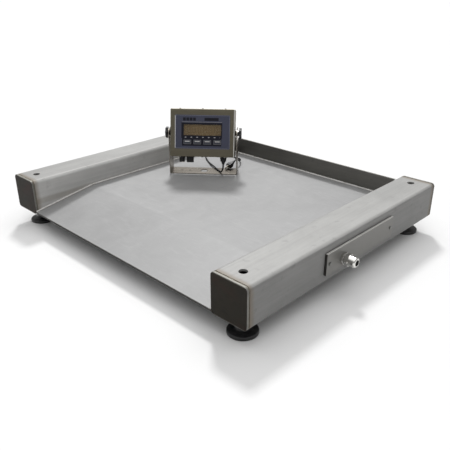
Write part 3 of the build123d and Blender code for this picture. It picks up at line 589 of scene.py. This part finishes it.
def beyond(x, z, centre, size):
    """How far a point of the indicator's face is outside a rectangle; negative inside it."""
    across = abs(x - centre[0]) - size[0] / 2
    up = abs(z - centre[1]) - size[1] / 2
    return across.top(up)


def block(x, z, centre, size):
    """1 inside a rectangle on the indicator's face."""
    return beyond(x, z, centre, size) < 0


def outline(x, z, rectangle, inset, half_width):
    """1 on a thin line that runs inside a rectangle's edge."""
    return abs(beyond(x, z, *rectangle) + inset) < half_width


def dashes(x, start, pitch, long):
    """1 on dashes across the indicator's face."""
    return (x - start) % pitch < long


def case_sheet(settings):
    """Brushed sheet of the case, with a painted highlight along its folded side edges."""
    finish = Finish("case_brushed", CASE)
    x, y, _ = finish.axes()
    lines = finish.brush_lines(0)
    bands = finish.brush_bands(0)
    clouds = finish.noise(9, 5, 0.62, 0.6)
    level = 1 + lines.spread(0.20) + bands.spread(0.26) + clouds.spread(0.20)
    half = CASE_WIDTH / 2
    # Painted highlight along both folded side edges of the front; the far edge gets a weaker one.
    highlight_edge = x.ramp(half - 0.0052, half - 0.0036) * (1 - x.ramp(half - 0.0020, half - 0.0008))
    far = (0 - x).ramp(half - 0.0030, half - 0.0010)
    front = 1 - y.ramp(-0.0356, -0.0330)
    tone = finish.shade(settings.case_colour, level)
    tone = finish.mix(highlight_edge * front * (0.55 + clouds * 0.6), tone, PAINTED_HIGHLIGHT_CASE)
    tone = finish.mix(far * 0.35, tone, PAINTED_HIGHLIGHT_CASE_FAR)
    return finish.surface(
        Base_Color=tone,
        Metallic=1 - highlight_edge * front * 0.8,
        Roughness=0.34 + clouds * 0.12 + bands * 0.06,
        Normal=finish.bump(lines + bands * 0.5, 0.00005),
    )


def front_film(settings):
    """Printed film: blue-grey field, dark panel round window and keys, plain marks for print, and a
    painted highlight line along its left edge.
    """
    finish = Finish("front_film_print", CASE)
    x, _, z = finish.axes()
    pits = finish.noise(1500, 2, 0.6)
    clouds = finish.noise(14, 3)
    row = block(x, z, *FILM_BAR_ROW) * dashes(x, -0.0775, pitch=0.0133, long=0.0108)
    bars = block(x, z, *FILM_BAR).top(row)
    marks = block(x, z, *FILM_MARKS) * dashes(x, -0.070, pitch=0.0232, long=0.0060)
    panel = block(x, z, *FILM_WINDOW).top(block(x, z, *FILM_KEY_BAND))
    border = outline(x, z, FILM_FIELD, inset=0.0022, half_width=0.0004)
    tone = finish.shade(settings.film_colour, 0.94 + clouds * 0.12)
    for shape, ink in (
        (border, PRINT_BORDER),
        (bars, PRINT_DARK),
        (block(x, z, *FILM_LINE), PRINT_LINE),
        # Painted highlight along the film's left edge.
        (block(x, z, *FILM_PAINTED_HIGHLIGHT), PAINTED_HIGHLIGHT_WHITE),
        (panel, settings.band_colour),
        (marks, PRINT_MARK),
    ):
        tone = finish.mix(shape, tone, ink)
    return finish.surface(
        Base_Color=tone,
        Specular_IOR_Level=0.3,
        Roughness=0.36 + pits * 0.10,
        Normal=finish.bump(pits + panel * 0.8, 0.00003),
    )


def key_pad(settings):
    """Pressed key with a pale generic bar as its mark."""
    finish = Finish("key_pressed_film", CASE)
    x, _, z = finish.axes()
    pits = finish.noise(1500, 2, 0.6)
    key_pitch = 0.040
    local = (x + 2 * key_pitch) % key_pitch - key_pitch / 2
    mark = block(local, z, *KEY_BAR)
    ring = outline(local, z, KEY_FACE, inset=0.0016, half_width=0.0005)
    tone = finish.shade(settings.key_colour, 0.9 + pits * 0.2)
    return finish.surface(
        Base_Color=finish.mix(mark.top(ring * 0.25), tone, KEY_MARK),
        Roughness=0.34 + pits * 0.12,
        Normal=finish.bump(pits + mark, 0.00003),
    )


def display_glass(settings):
    """Amber display with a fine grain, painted brighter towards its middle as a glow and darker
    towards its top and bottom.
    """
    finish = Finish("display_amber", CASE)
    x, _, z = finish.axes()
    cells = finish.noise((900, 900, 900), 1)
    # Painted glow: the unlit display is made paler towards its middle.
    glow = 1 - abs(x + 0.002).ramp(0.02, 0.085)
    edge = abs(z - 0.0115).ramp(0.014, 0.022)
    level = 0.82 + glow * 0.34 + cells.spread(0.06) - edge * 0.22
    tone = finish.shade(settings.display_colour, level)
    return finish.surface(Base_Color=tone, Roughness=0.40 + cells * 0.08)


def clear_window():
    """Clear window over the display, faintly smeared."""
    finish = Finish("window_clear")
    smears = finish.noise(40, 4, 0.6)
    return finish.surface(
        Base_Color=WINDOW_AMBER, Alpha=0.08, Roughness=0.06 + smears * 0.05, Coat_Weight=0.15
    )


# ---- small makers -------------------------------------------------------------------------
def mesh_object(name, verts, edges, faces, material=None):
    mesh = bpy.data.meshes.new(name)
    mesh.from_pydata([tuple(v) for v in verts], edges, faces)
    mesh.validate()
    made = bpy.data.objects.new(name, mesh)
    bpy.context.collection.objects.link(made)
    if material is not None:
        mesh.materials.append(material)
    return made


def shade_smooth(made):
    for face in made.data.polygons:
        face.use_smooth = True
    made.data.set_sharp_from_angle(angle=math.radians(40))


def plain_mesh(made):
    """An object's shape as it is evaluated, as a new mesh."""
    graph = bpy.context.evaluated_depsgraph_get()
    return bpy.data.meshes.new_from_object(made.evaluated_get(graph), depsgraph=graph)


def bake(made):
    """Turns an object's modifiers into plain mesh."""
    done = plain_mesh(made)
    made.modifiers.clear()
    old, made.data = made.data, done
    bpy.data.meshes.remove(old)


def geometry_tree(name, sockets):
    """A new geometry tree with its own named inputs; returns the tree and its input signals."""
    group = bpy.data.node_groups.new(name, "GeometryNodeTree")
    group.interface.new_socket("Geometry", in_out="INPUT", socket_type="NodeSocketGeometry")
    group.interface.new_socket("Geometry", in_out="OUTPUT", socket_type="NodeSocketGeometry")
    for label, kind in sockets.items():
        group.interface.new_socket(label, in_out="INPUT", socket_type=kind)
    tree = Tree(group)
    source = group.nodes.new("NodeGroupInput")
    return tree, {socket.name: Signal(tree, socket) for socket in source.outputs if socket.name}


def finish_tree(tree, geometry, material):
    """Ends a geometry tree: real mesh instead of instances, with its material."""
    geometry = tree.node("GeometryNodeRealizeInstances", inputs={0: geometry})
    inputs = {"Geometry": geometry, "Material": material}
    geometry = tree.node("GeometryNodeSetMaterial", inputs=inputs)
    tree.node("NodeGroupOutput", inputs={0: geometry})
    return tree.nodes


def grow(made, tree, values):
    """Runs a geometry tree on an object with the given inputs."""
    modifier = made.modifiers.new("build", "NODES")
    modifier.node_group = tree
    for item in tree.interface.items_tree:
        if item.in_out == "INPUT" and item.name in values:
            modifier[item.identifier] = values[item.name]
    bake(made)


def weld_tree():
    """Overlapping ripples along every edge of a path."""
    tree, given = geometry_tree(
        "weld_seam",
        {
            "Pitch": "NodeSocketFloat",
            "Half width": "NodeSocketFloat",
            "Seed": "NodeSocketInt",
            "Material": "NodeSocketMaterial",
        },
    )
    line = tree.node("GeometryNodeMeshToCurve", inputs={0: given["Geometry"]})
    line = tree.node(
        "GeometryNodeResampleCurve", {"mode": "LENGTH"}, {"Curve": line, "Length": given["Pitch"]}
    )
    ripple = tree.node("GeometryNodeMeshIcoSphere", inputs={"Radius": 1.0, "Subdivisions": 2})
    ripple = tree.node("GeometryNodeSetShadeSmooth", inputs={0: ripple})
    tangent = tree.node("GeometryNodeInputTangent")
    turn = tree.node("FunctionNodeAlignEulerToVector", {"axis": "Z"}, {"Vector": tangent})
    least, most, overlap = 0.78, 1.16, 0.86
    vary = tree.node(
        "FunctionNodeRandomValue",
        {"data_type": "FLOAT"},
        {2: least, 3: most, "Seed": given["Seed"]},
        output=1,
    )
    wide = given["Half width"] * vary
    long = given["Pitch"] * overlap
    size = tree.node("ShaderNodeCombineXYZ", inputs={0: wide, 1: wide, 2: long})
    inputs = {"Points": line, "Instance": ripple, "Rotation": turn, "Scale": size}
    beads = tree.node("GeometryNodeInstanceOnPoints", inputs=inputs)
    return finish_tree(tree, beads, given["Material"])


def copies_tree():
    """Copies of one small piece on every point, turned by the point's own attribute."""
    tree, given = geometry_tree(
        "placed_copies", {"Piece": "NodeSocketObject", "Material": "NodeSocketMaterial"}
    )
    piece = tree.node("GeometryNodeObjectInfo", inputs={0: given["Piece"]}, output=4)
    turn = tree.node(
        "GeometryNodeInputNamedAttribute", {"data_type": "FLOAT_VECTOR"}, {"Name": "turn"}
    )
    inputs = {"Points": given["Geometry"], "Instance": piece, "Rotation": turn}
    placed = tree.node("GeometryNodeInstanceOnPoints", inputs=inputs)
    return finish_tree(tree, placed, given["Material"])


def copies(name, piece, places, turns, material):
    """One mesh of copies of a piece, at places in the case's axes, each turned in its plane."""
    made = mesh_object(name, places, [], [])
    attribute = made.data.attributes.new("turn", "FLOAT_VECTOR", "POINT")
    attribute.data.foreach_set("vector", [value for turn in turns for value in turn])
    grow(made, copies_tree(), {"Piece": piece, "Material": material})
    bpy.data.objects.remove(piece)
    return made


def weld_metal(name, tone, oxide, metal):
    """Weld bead; oxide says how much of it is heat-tinted."""
    finish = Finish(name)
    clouds = finish.noise(160, 3, 0.6)
    heat = finish.noise(60, 3).ramp(0.5, 0.75)
    return finish.surface(
        Base_Color=finish.mix(heat * oxide, finish.shade(tone, 0.75 + clouds * 0.5), WELD_OXIDE),
        Metallic=metal,
        Roughness=0.24 + clouds * 0.25,
        Normal=finish.bump(clouds, 0.0001),
    )


def runs(name, lines):
    """A path mesh from lists of points, one edge chain each."""
    verts, edges = [], []
    for line in lines:
        start = len(verts)
        verts += line
        edges += [(start + i, start + i + 1) for i in range(len(line) - 1)]
    return mesh_object(name, verts, edges, [])


def seam(name, lines, half_width, settings, material, body):
    """Weld seams along paths, as one piece of a body."""
    made = runs(name, lines)
    values = {"Pitch": settings.pitch, "Half width": half_width}
    values.update({"Seed": settings.seed, "Material": material})
    grow(made, weld_tree(), values)
    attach(made, body)


# ---- operators ----------------------------------------------------------------------------
class PlatformOperator(bpy.types.Operator):
    """Finish the tubes, end caps, deck, stop wall and what is under them"""

    bl_idname = "pallet_scale.platform"
    bl_label = "Platform"

    def execute(self, context):
        settings = context.scene.pallet_scale_platform
        dress(tube_steel(settings), "left_tube", "right_tube")
        dress(cap_steel(settings), *[f"end_cap_{corner}" for corner in CORNERS])
        dress(deck_steel(settings), "deck_plate")
        rolled = brushed_steel(
            "wall_hot_rolled", settings.wall_colour, 0, gloss=(0.40, 0.58), stain=0.16
        )
        dress(rolled, "back_wall", "deck_ribs", "cable_conduit")
        return {"FINISHED"}


class CellsOperator(bpy.types.Operator):
    """Finish the load cells, their fixings, cables and boards"""

    bl_idname = "pallet_scale.cells"
    bl_label = "Load cells"

    def execute(self, context):
        jacket = context.scene.pallet_scale_cord.jacket_colour
        dress(
            brushed_steel("cell_machined", (0.55, 0.55, 0.54), 1, gloss=(0.2, 0.34), stain=0.05),
            "cell_spacers", *[f"load_cell_{corner}" for corner in CORNERS],
        )
        dress(brushed_steel("bolt_plated", (0.48, 0.47, 0.45), 2, gloss=(0.25, 0.4)), "cell_bolts")
        dress(circuit_board("board_lacquered"), "summing_board", "main_board")
        dress(rubber("cable_jacket", jacket), "cell_cables")
        return {"FINISHED"}


class FeetOperator(bpy.types.Operator):
    """Finish the levelling feet"""

    bl_idname = "pallet_scale.feet"
    bl_label = "Levelling feet"

    def execute(self, context):
        settings = context.scene.pallet_scale_feet
        dress(
            moulded_plastic("foot_moulded", settings.pad_colour, 900, gloss=0.30),
            *[f"foot_pad_{corner}" for corner in CORNERS],
        )
        dress(zinc_thread(settings), *[f"foot_stem_{corner}" for corner in CORNERS])
        return {"FINISHED"}


class WeldsOperator(bpy.types.Operator):
    """Lay the weld seams along the deck and round the end caps"""

    bl_idname = "pallet_scale.welds"
    bl_label = "Welds"

    def execute(self, context):
        platform = context.scene.pallet_scale_platform
        settings = context.scene.pallet_scale_welds
        metal = weld_metal("weld_bead_bright", settings.weld_colour, 0.25, 0.35)
        seat = settings.fillet * 0.4
        top, fold = DECK_HIGH.z + seat, DECK_LOW.y + platform.ramp_run
        before_wall, behind_wall = WALL_LOW.y - seat, WALL_HIGH.y + seat
        wall_top = WALL_HIGH.z - 0.002
        left, right = DECK_LOW.x + seat, DECK_HIGH.x - seat
        lines = []
        for x in (left, right):
            lip = (x, DECK_LOW.y + 0.004, platform.lip_top + seat)
            lines.append([lip, (x, fold - 0.003, top - 0.0006)])
            lines.append([(x, fold + 0.002, top), (x, before_wall, top)])
            lines.append([(x, before_wall, top), (x, before_wall, wall_top)])
            lines.append([(x, behind_wall, WALL_LOW.z + 0.004), (x, behind_wall, wall_top)])
        lines.append([(left, before_wall, top), (right, before_wall, top)])
        seam("deck_welds", lines, settings.fillet, settings, metal, "platform")

        half_gap, tube_corner, clear = 0.00225, 0.0127, 0.0002
        corner_steps = 4
        inset = settings.groove + clear
        round_by = tube_corner - inset
        lines = []
        for corner in CORNERS:
            low, high = (Vector(point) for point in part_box(f"end_cap_{corner}"))
            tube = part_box("left_tube" if corner.endswith("left") else "right_tube")
            outer_y = low.y if corner.startswith("front") else high.y
            tube_end = tube[0][1] if corner.startswith("front") else tube[1][1]
            y = tube_end + math.copysign(half_gap, outer_y)
            middle = (low + high) / 2
            half_x, half_z = (high.x - low.x) / 2 - inset, (high.z - low.z) / 2 - inset
            loop = []
            for quarter in range(4):
                spin = quarter * math.pi / 2
                corner_x = middle.x + (half_x - round_by) * (1 if quarter in (0, 3) else -1)
                corner_z = middle.z + (half_z - round_by) * (1 if quarter in (0, 1) else -1)
                for step in range(corner_steps + 1):
                    angle = spin + step * math.pi / (2 * corner_steps)
                    x = corner_x + round_by * math.cos(angle)
                    loop.append((x, y, corner_z + round_by * math.sin(angle)))
            lines.append(loop + loop[:1])
        metal = weld_metal("weld_bead_tinted", settings.groove_colour, 0.8, 0.8)
        seam("cap_welds", lines, settings.groove, settings, metal, "platform")
        return {"FINISHED"}


class JunctionOperator(bpy.types.Operator):
    """Finish the junction cover, its screws, the plated cable gland and the rubber seals"""

    bl_idname = "pallet_scale.junction"
    bl_label = "Junction cover and gland"

    def execute(self, context):
        settings = context.scene.pallet_scale_platform
        dress(cover_steel(settings), "junction_cover")
        dress(nickel_plate(), "gland_body", "gland_nut", "gland_locknut")
        screws = brushed_steel("screw_turned", (0.20, 0.20, 0.19), 2, gloss=(0.25, 0.4))
        dress(screws, "junction_screws")
        dress(
            rubber("gasket_rubber", (0.014, 0.014, 0.014)),
            "junction_gasket", "gland_seal", "housing_gasket", "pivot_spacers",
        )
        return {"FINISHED"}


class StandOperator(bpy.types.Operator):
    """Finish the indicator's stand, knobs, washers and cover screws"""

    bl_idname = "pallet_scale.stand"
    bl_label = "Stand and knobs"

    def execute(self, context):
        settings = context.scene.pallet_scale_indicator
        jacket = context.scene.pallet_scale_cord.jacket_colour
        sheet = brushed_steel(
            "stand_bright_sheet", settings.bracket_colour, 0, STAND, (0.20, 0.34), 1.2
        )
        dress(sheet, "stand_bracket")
        dress(moulded_plastic("knob_moulded", jacket, 1300, gloss=0.36), "knob_left", "knob_right")
        dress(
            brushed_steel("washer_bright", (0.60, 0.59, 0.56), 2, CASE, (0.2, 0.3)),
            "knob_washer_left", "knob_washer_right", "cover_screws",
        )
        return {"FINISHED"}


class CaseOperator(bpy.types.Operator):
    """Finish the indicator's case, front film, keys, display, window and power supply"""

    bl_idname = "pallet_scale.indicator_case"
    bl_label = "Indicator case"

    def execute(self, context):
        settings = context.scene.pallet_scale_indicator
        dress(case_sheet(settings), "rear_housing", "front_cover")
        dress(front_film(settings), "overlay")
        dress(key_pad(settings), "key_1", "key_2", "key_3", "key_4")
        dress(display_glass(settings), "display_module")
        dress(clear_window(), "display_window")
        dress(moulded_plastic("supply_moulded", (0.03, 0.03, 0.033)), "power_supply")
        return {"FINISHED"}


class DigitsOperator(bpy.types.Operator):
    """Place the unlit seven-bar figures in the display"""

    bl_idname = "pallet_scale.digits"
    bl_label = "Display figures"

    def execute(self, context):
        settings = context.scene.pallet_scale_indicator
        bar_long, bar_thick = 0.0104, 0.0009
        bar_half = bar_long / 2
        flat = bar_half - bar_thick
        bar = mesh_object(
            "figure_bar",
            [
                (-bar_half, 0, 0), (-flat, 0, bar_thick), (flat, 0, bar_thick),
                (bar_half, 0, 0), (flat, 0, -bar_thick), (-flat, 0, -bar_thick),
            ],
            [],
            [(0, 5, 4, 3, 2, 1)],
        )
        finish = Finish("figure_unlit", CASE)
        tint = finish.noise(600, 1)
        material = finish.surface(
            Base_Color=finish.shade(settings.display_colour, 0.50 + tint * 0.16), Roughness=0.3
        )
        # Each bar's place in its figure, in steps across and up, and whether it stands upright.
        seven_bars = (
            (0, 2, 0), (0, 0, 0), (0, -2, 0), (-1, 1, 1), (1, 1, 1), (-1, -1, 1), (1, -1, 1),
        )
        pitch, off_middle, row_z, front_y = 0.0215, -0.001, 0.0125, -0.03312
        step = bar_long * 0.55
        places, turns = [], []
        for digit in range(settings.digits):
            centre = (digit - (settings.digits - 1) / 2) * pitch + off_middle
            for across, up, upright in seven_bars:
                places.append((centre + across * step, front_y, row_z + up * step))
                turns.append((0, math.pi / 2 * upright, 0))
        made = copies("display_figures", bar, places, turns, material)
        made.data.transform(CASE)
        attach(made, "case")
        return {"FINISHED"}


class OutletsOperator(bpy.types.Operator):
    """Finish the power gland, blank gland and sensor connector under the case"""

    bl_idname = "pallet_scale.outlets"
    bl_label = "Outlets"

    def execute(self, context):
        jacket = context.scene.pallet_scale_cord.jacket_colour
        ribbed = moulded_plastic("gland_ribbed", jacket, 1300, CASE, 0.34, rings=0.0026)
        dress(ribbed, "power_gland")
        fitting = moulded_plastic("fitting_moulded", jacket, 1300, gloss=0.30)
        dress(fitting, "blank_gland", "sensor_connector")
        return {"FINISHED"}


class CordOperator(bpy.types.Operator):
    """Lay the power cord from its gland to the coil and on to the plug"""

    bl_idname = "pallet_scale.power_cord"
    bl_label = "Power cord"

    def execute(self, context):
        settings = context.scene.pallet_scale_cord
        # Points are in the stand's axes. The cord lies on the stand's base, then on the deck.
        on_base, on_deck = 0.0058, 0.0033
        coil = Vector((0.062, 0.238, 0))
        coil_radius, coil_turns = 0.035, 5
        from_gland = [
            (0.0820, -0.0322, 0.0419), (0.0820, -0.0345, 0.0332), (0.0800, -0.0352, 0.0213),
            (0.0755, -0.0304, 0.0112), (0.0699, -0.0210, on_base), (0.0580, 0.0005, on_base),
            (0.0440, 0.0250, on_base + 0.0015), (0.0270, 0.0580, on_deck + 0.004),
            (0.0080, 0.1000, on_deck), (-0.0080, 0.1440, on_deck), (-0.0190, 0.1880, on_deck),
            (-0.0170, 0.2320, on_deck), (0.0080, 0.2640, on_deck),
        ]
        to_plug = [
            (0.1000, 0.2080, on_deck + 0.0037), (0.1120, 0.1840, on_deck),
            (0.1300, 0.1560, on_deck), (0.1410, 0.1300, on_deck + 0.0027),
            (0.1420, 0.1060, 0.0200), (0.1360, 0.0860, 0.0316),
            (0.1280, 0.0700, 0.0314), (0.1201, 0.0594, 0.0266),
        ]
        thick = settings.radius * 2
        # Each turn's place in the coil, in cord widths outward and up; a turn crosses to the next
        # one's place in its last part.
        layers = [(0.5, 0), (-0.5, 0), (-0.5, 1), (0.5, 1), (0.5, 2), (-0.2, 2)]
        cross_from, cross_over = 0.78, 0.22
        first, last, per_turn = math.radians(104), math.radians(-8 - coil_turns * 360), 16
        chord = math.cos(math.pi / per_turn)
        count = round((first - last) / (2 * math.pi) * per_turn)
        wound = []
        for step in range(count + 1):
            whole = min(step // per_turn, coil_turns)
            part = step / per_turn - whole
            moved = min(1, max(0, (part - cross_from) / cross_over))
            here, following = layers[whole], layers[min(whole + 1, coil_turns)]
            out, up = (a + (b - a) * moved for a, b in zip(here, following))
            angle = first + (last - first) * step / count
            radius = (coil_radius + out * (thick + 0.0003)) / chord
            height = on_deck + up * (thick - 0.0001)
            spot = Vector((radius * math.cos(angle), radius * math.sin(angle), height))
            wound.append(coil + spot)
        points = [STAND @ Vector(point) for point in [*from_gland, *wound, *to_plug]]

        line = bpy.data.curves.new("power_cord_line", "CURVE")
        line.dimensions = "3D"
        spline = line.splines.new("NURBS")
        spline.points.add(len(points) - 1)
        for control, point in zip(spline.points, points):
            control.co = (*point, 1)
        spline.order_u = 3
        spline.use_endpoint_u = True
        spline.resolution_u = 6
        holder = bpy.data.objects.new("power_cord_line", line)
        bpy.context.collection.objects.link(holder)
        path = [tuple(v.co) for v in plain_mesh(holder).vertices]
        line.bevel_depth = settings.radius
        line.bevel_resolution = 3
        line.use_fill_caps = True
        bpy.context.view_layer.update()
        mesh = plain_mesh(holder)
        bpy.data.objects.remove(holder)
        mesh.name = "flex"
        cord = bpy.data.objects.new("flex", mesh)
        bpy.context.collection.objects.link(cord)
        shade_smooth(cord)
        mesh.materials.clear()
        mesh.materials.append(rubber("cord_jacket", settings.jacket_colour))
        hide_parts("power_cord", "cord_coil", "plug_lead")
        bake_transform(cord)
        plug = moulded_plastic("plug_moulded", settings.jacket_colour, 1300, gloss=0.38)
        dress(plug, "plug_body")
        pins = brushed_steel("pin_nickelled", (0.62, 0.58, 0.48), 1, STAND, (0.16, 0.26))
        dress(pins, "plug_pins")
        return {"FINISHED"}


class StageOperator(bpy.types.Operator):
    """Set the floor, lights and camera"""

    bl_idname = "pallet_scale.stage"
    bl_label = "Stage"

    def execute(self, context):
        settings, scene = context.scene.pallet_scale_stage, context.scene
        finish = Finish("floor_plain")
        dust = finish.noise(1.5, 3)
        reach, under = 40, -0.0004
        floor = mesh_object(
            "floor",
            [(x * reach, y * reach, under) for x, y in ((-1, -1), (1, -1), (1, 1), (-1, 1))],
            [],
            [(0, 1, 2, 3)],
            finish.surface(
                Base_Color=finish.shade(settings.floor_colour, 0.995 + dust * 0.01), Roughness=0.9
            ),
        )

        world = bpy.data.worlds.new("studio")
        scene.world = world
        world.use_nodes = True
        sky = world.node_tree.nodes["Background"]
        sky.inputs["Color"].default_value = (1, 1, 1, 1)
        heaven = Tree(world.node_tree)
        towards = heaven.node("ShaderNodeTexCoord")
        height = heaven.node("ShaderNodeSeparateXYZ", inputs={0: towards}, output=2).top(0)
        glow = height ** 3 * settings.overhead + settings.fill
        world.node_tree.links.new(glow.socket, sky.inputs["Strength"])
        sun = bpy.data.lights.new("key_light", "SUN")
        sun.energy, sun.angle = settings.key_strength, settings.key_size
        lamp = bpy.data.objects.new("key_light", sun)
        lamp.rotation_mode = "QUATERNION"
        towards_sun = Vector((-0.65, 0.61, 1.0))
        lamp.rotation_quaternion = towards_sun.to_track_quat("Z", "Y")
        scene.collection.objects.link(lamp)

        turn, rise, roll = settings.azimuth, settings.elevation, settings.roll
        back = Vector(
            (math.sin(turn) * math.cos(rise), -math.cos(turn) * math.cos(rise), math.sin(rise))
        )
        level = (-back).cross(Vector((0, 0, 1))).normalized()
        upright = level.cross(-back)
        right = math.cos(roll) * level + math.sin(roll) * upright
        up = -math.sin(roll) * level + math.cos(roll) * upright
        camera = bpy.data.objects.new("camera", bpy.data.cameras.new("camera"))
        camera.data.lens = settings.lens
        camera.data.sensor_width = 36
        camera.data.clip_end = 200
        camera.matrix_world = Matrix((right, up, back)).transposed().to_4x4()
        camera.location = settings.eye
        scene.collection.objects.link(camera)
        scene.camera = camera
        scene.view_settings.view_transform = "Standard"
        return {"FINISHED"}


STEPS = (
    PlatformOperator, CellsOperator, FeetOperator, WeldsOperator, JunctionOperator, StandOperator,
    CaseOperator, DigitsOperator, OutletsOperator, CordOperator, StageOperator,
)
GROUPS = {
    "pallet_scale_platform": PlatformSettings,
    "pallet_scale_welds": WeldSettings,
    "pallet_scale_feet": FeetSettings,
    "pallet_scale_indicator": IndicatorSettings,
    "pallet_scale_cord": CordSettings,
    "pallet_scale_stage": StageSettings,
}


class PalletScalePanel(bpy.types.Panel):
    """Lists the steps that finish the scale, with their sizes and colours"""

    bl_idname = "VIEW3D_PT_pallet_scale"
    bl_label = "Pallet Scale"
    bl_space_type = "VIEW_3D"
    bl_region_type = "UI"
    bl_category = "Pallet Scale"

    def draw(self, context):
        for group in GROUPS:
            box = self.layout.box()
            for name in getattr(context.scene, group).bl_rna.properties.keys():
                if name not in ("rna_type", "name"):
                    box.prop(getattr(context.scene, group), name)
        for step in STEPS:
            self.layout.operator(step.bl_idname)


def register():
    for group, settings in GROUPS.items():
        bpy.utils.register_class(settings)
        setattr(bpy.types.Scene, group, PointerProperty(type=settings))
    for step in STEPS:
        bpy.utils.register_class(step)
    bpy.utils.register_class(PalletScalePanel)


def unregister():
    bpy.utils.unregister_class(PalletScalePanel)
    for step in reversed(STEPS):
        bpy.utils.unregister_class(step)
    for group, settings in GROUPS.items():
        delattr(bpy.types.Scene, group)
        bpy.utils.unregister_class(settings)


def main():
    register()
    for step in STEPS:
        group, name = step.bl_idname.split(".")
        getattr(getattr(bpy.ops, group), name)()


if __name__ == "__main__":
    main()
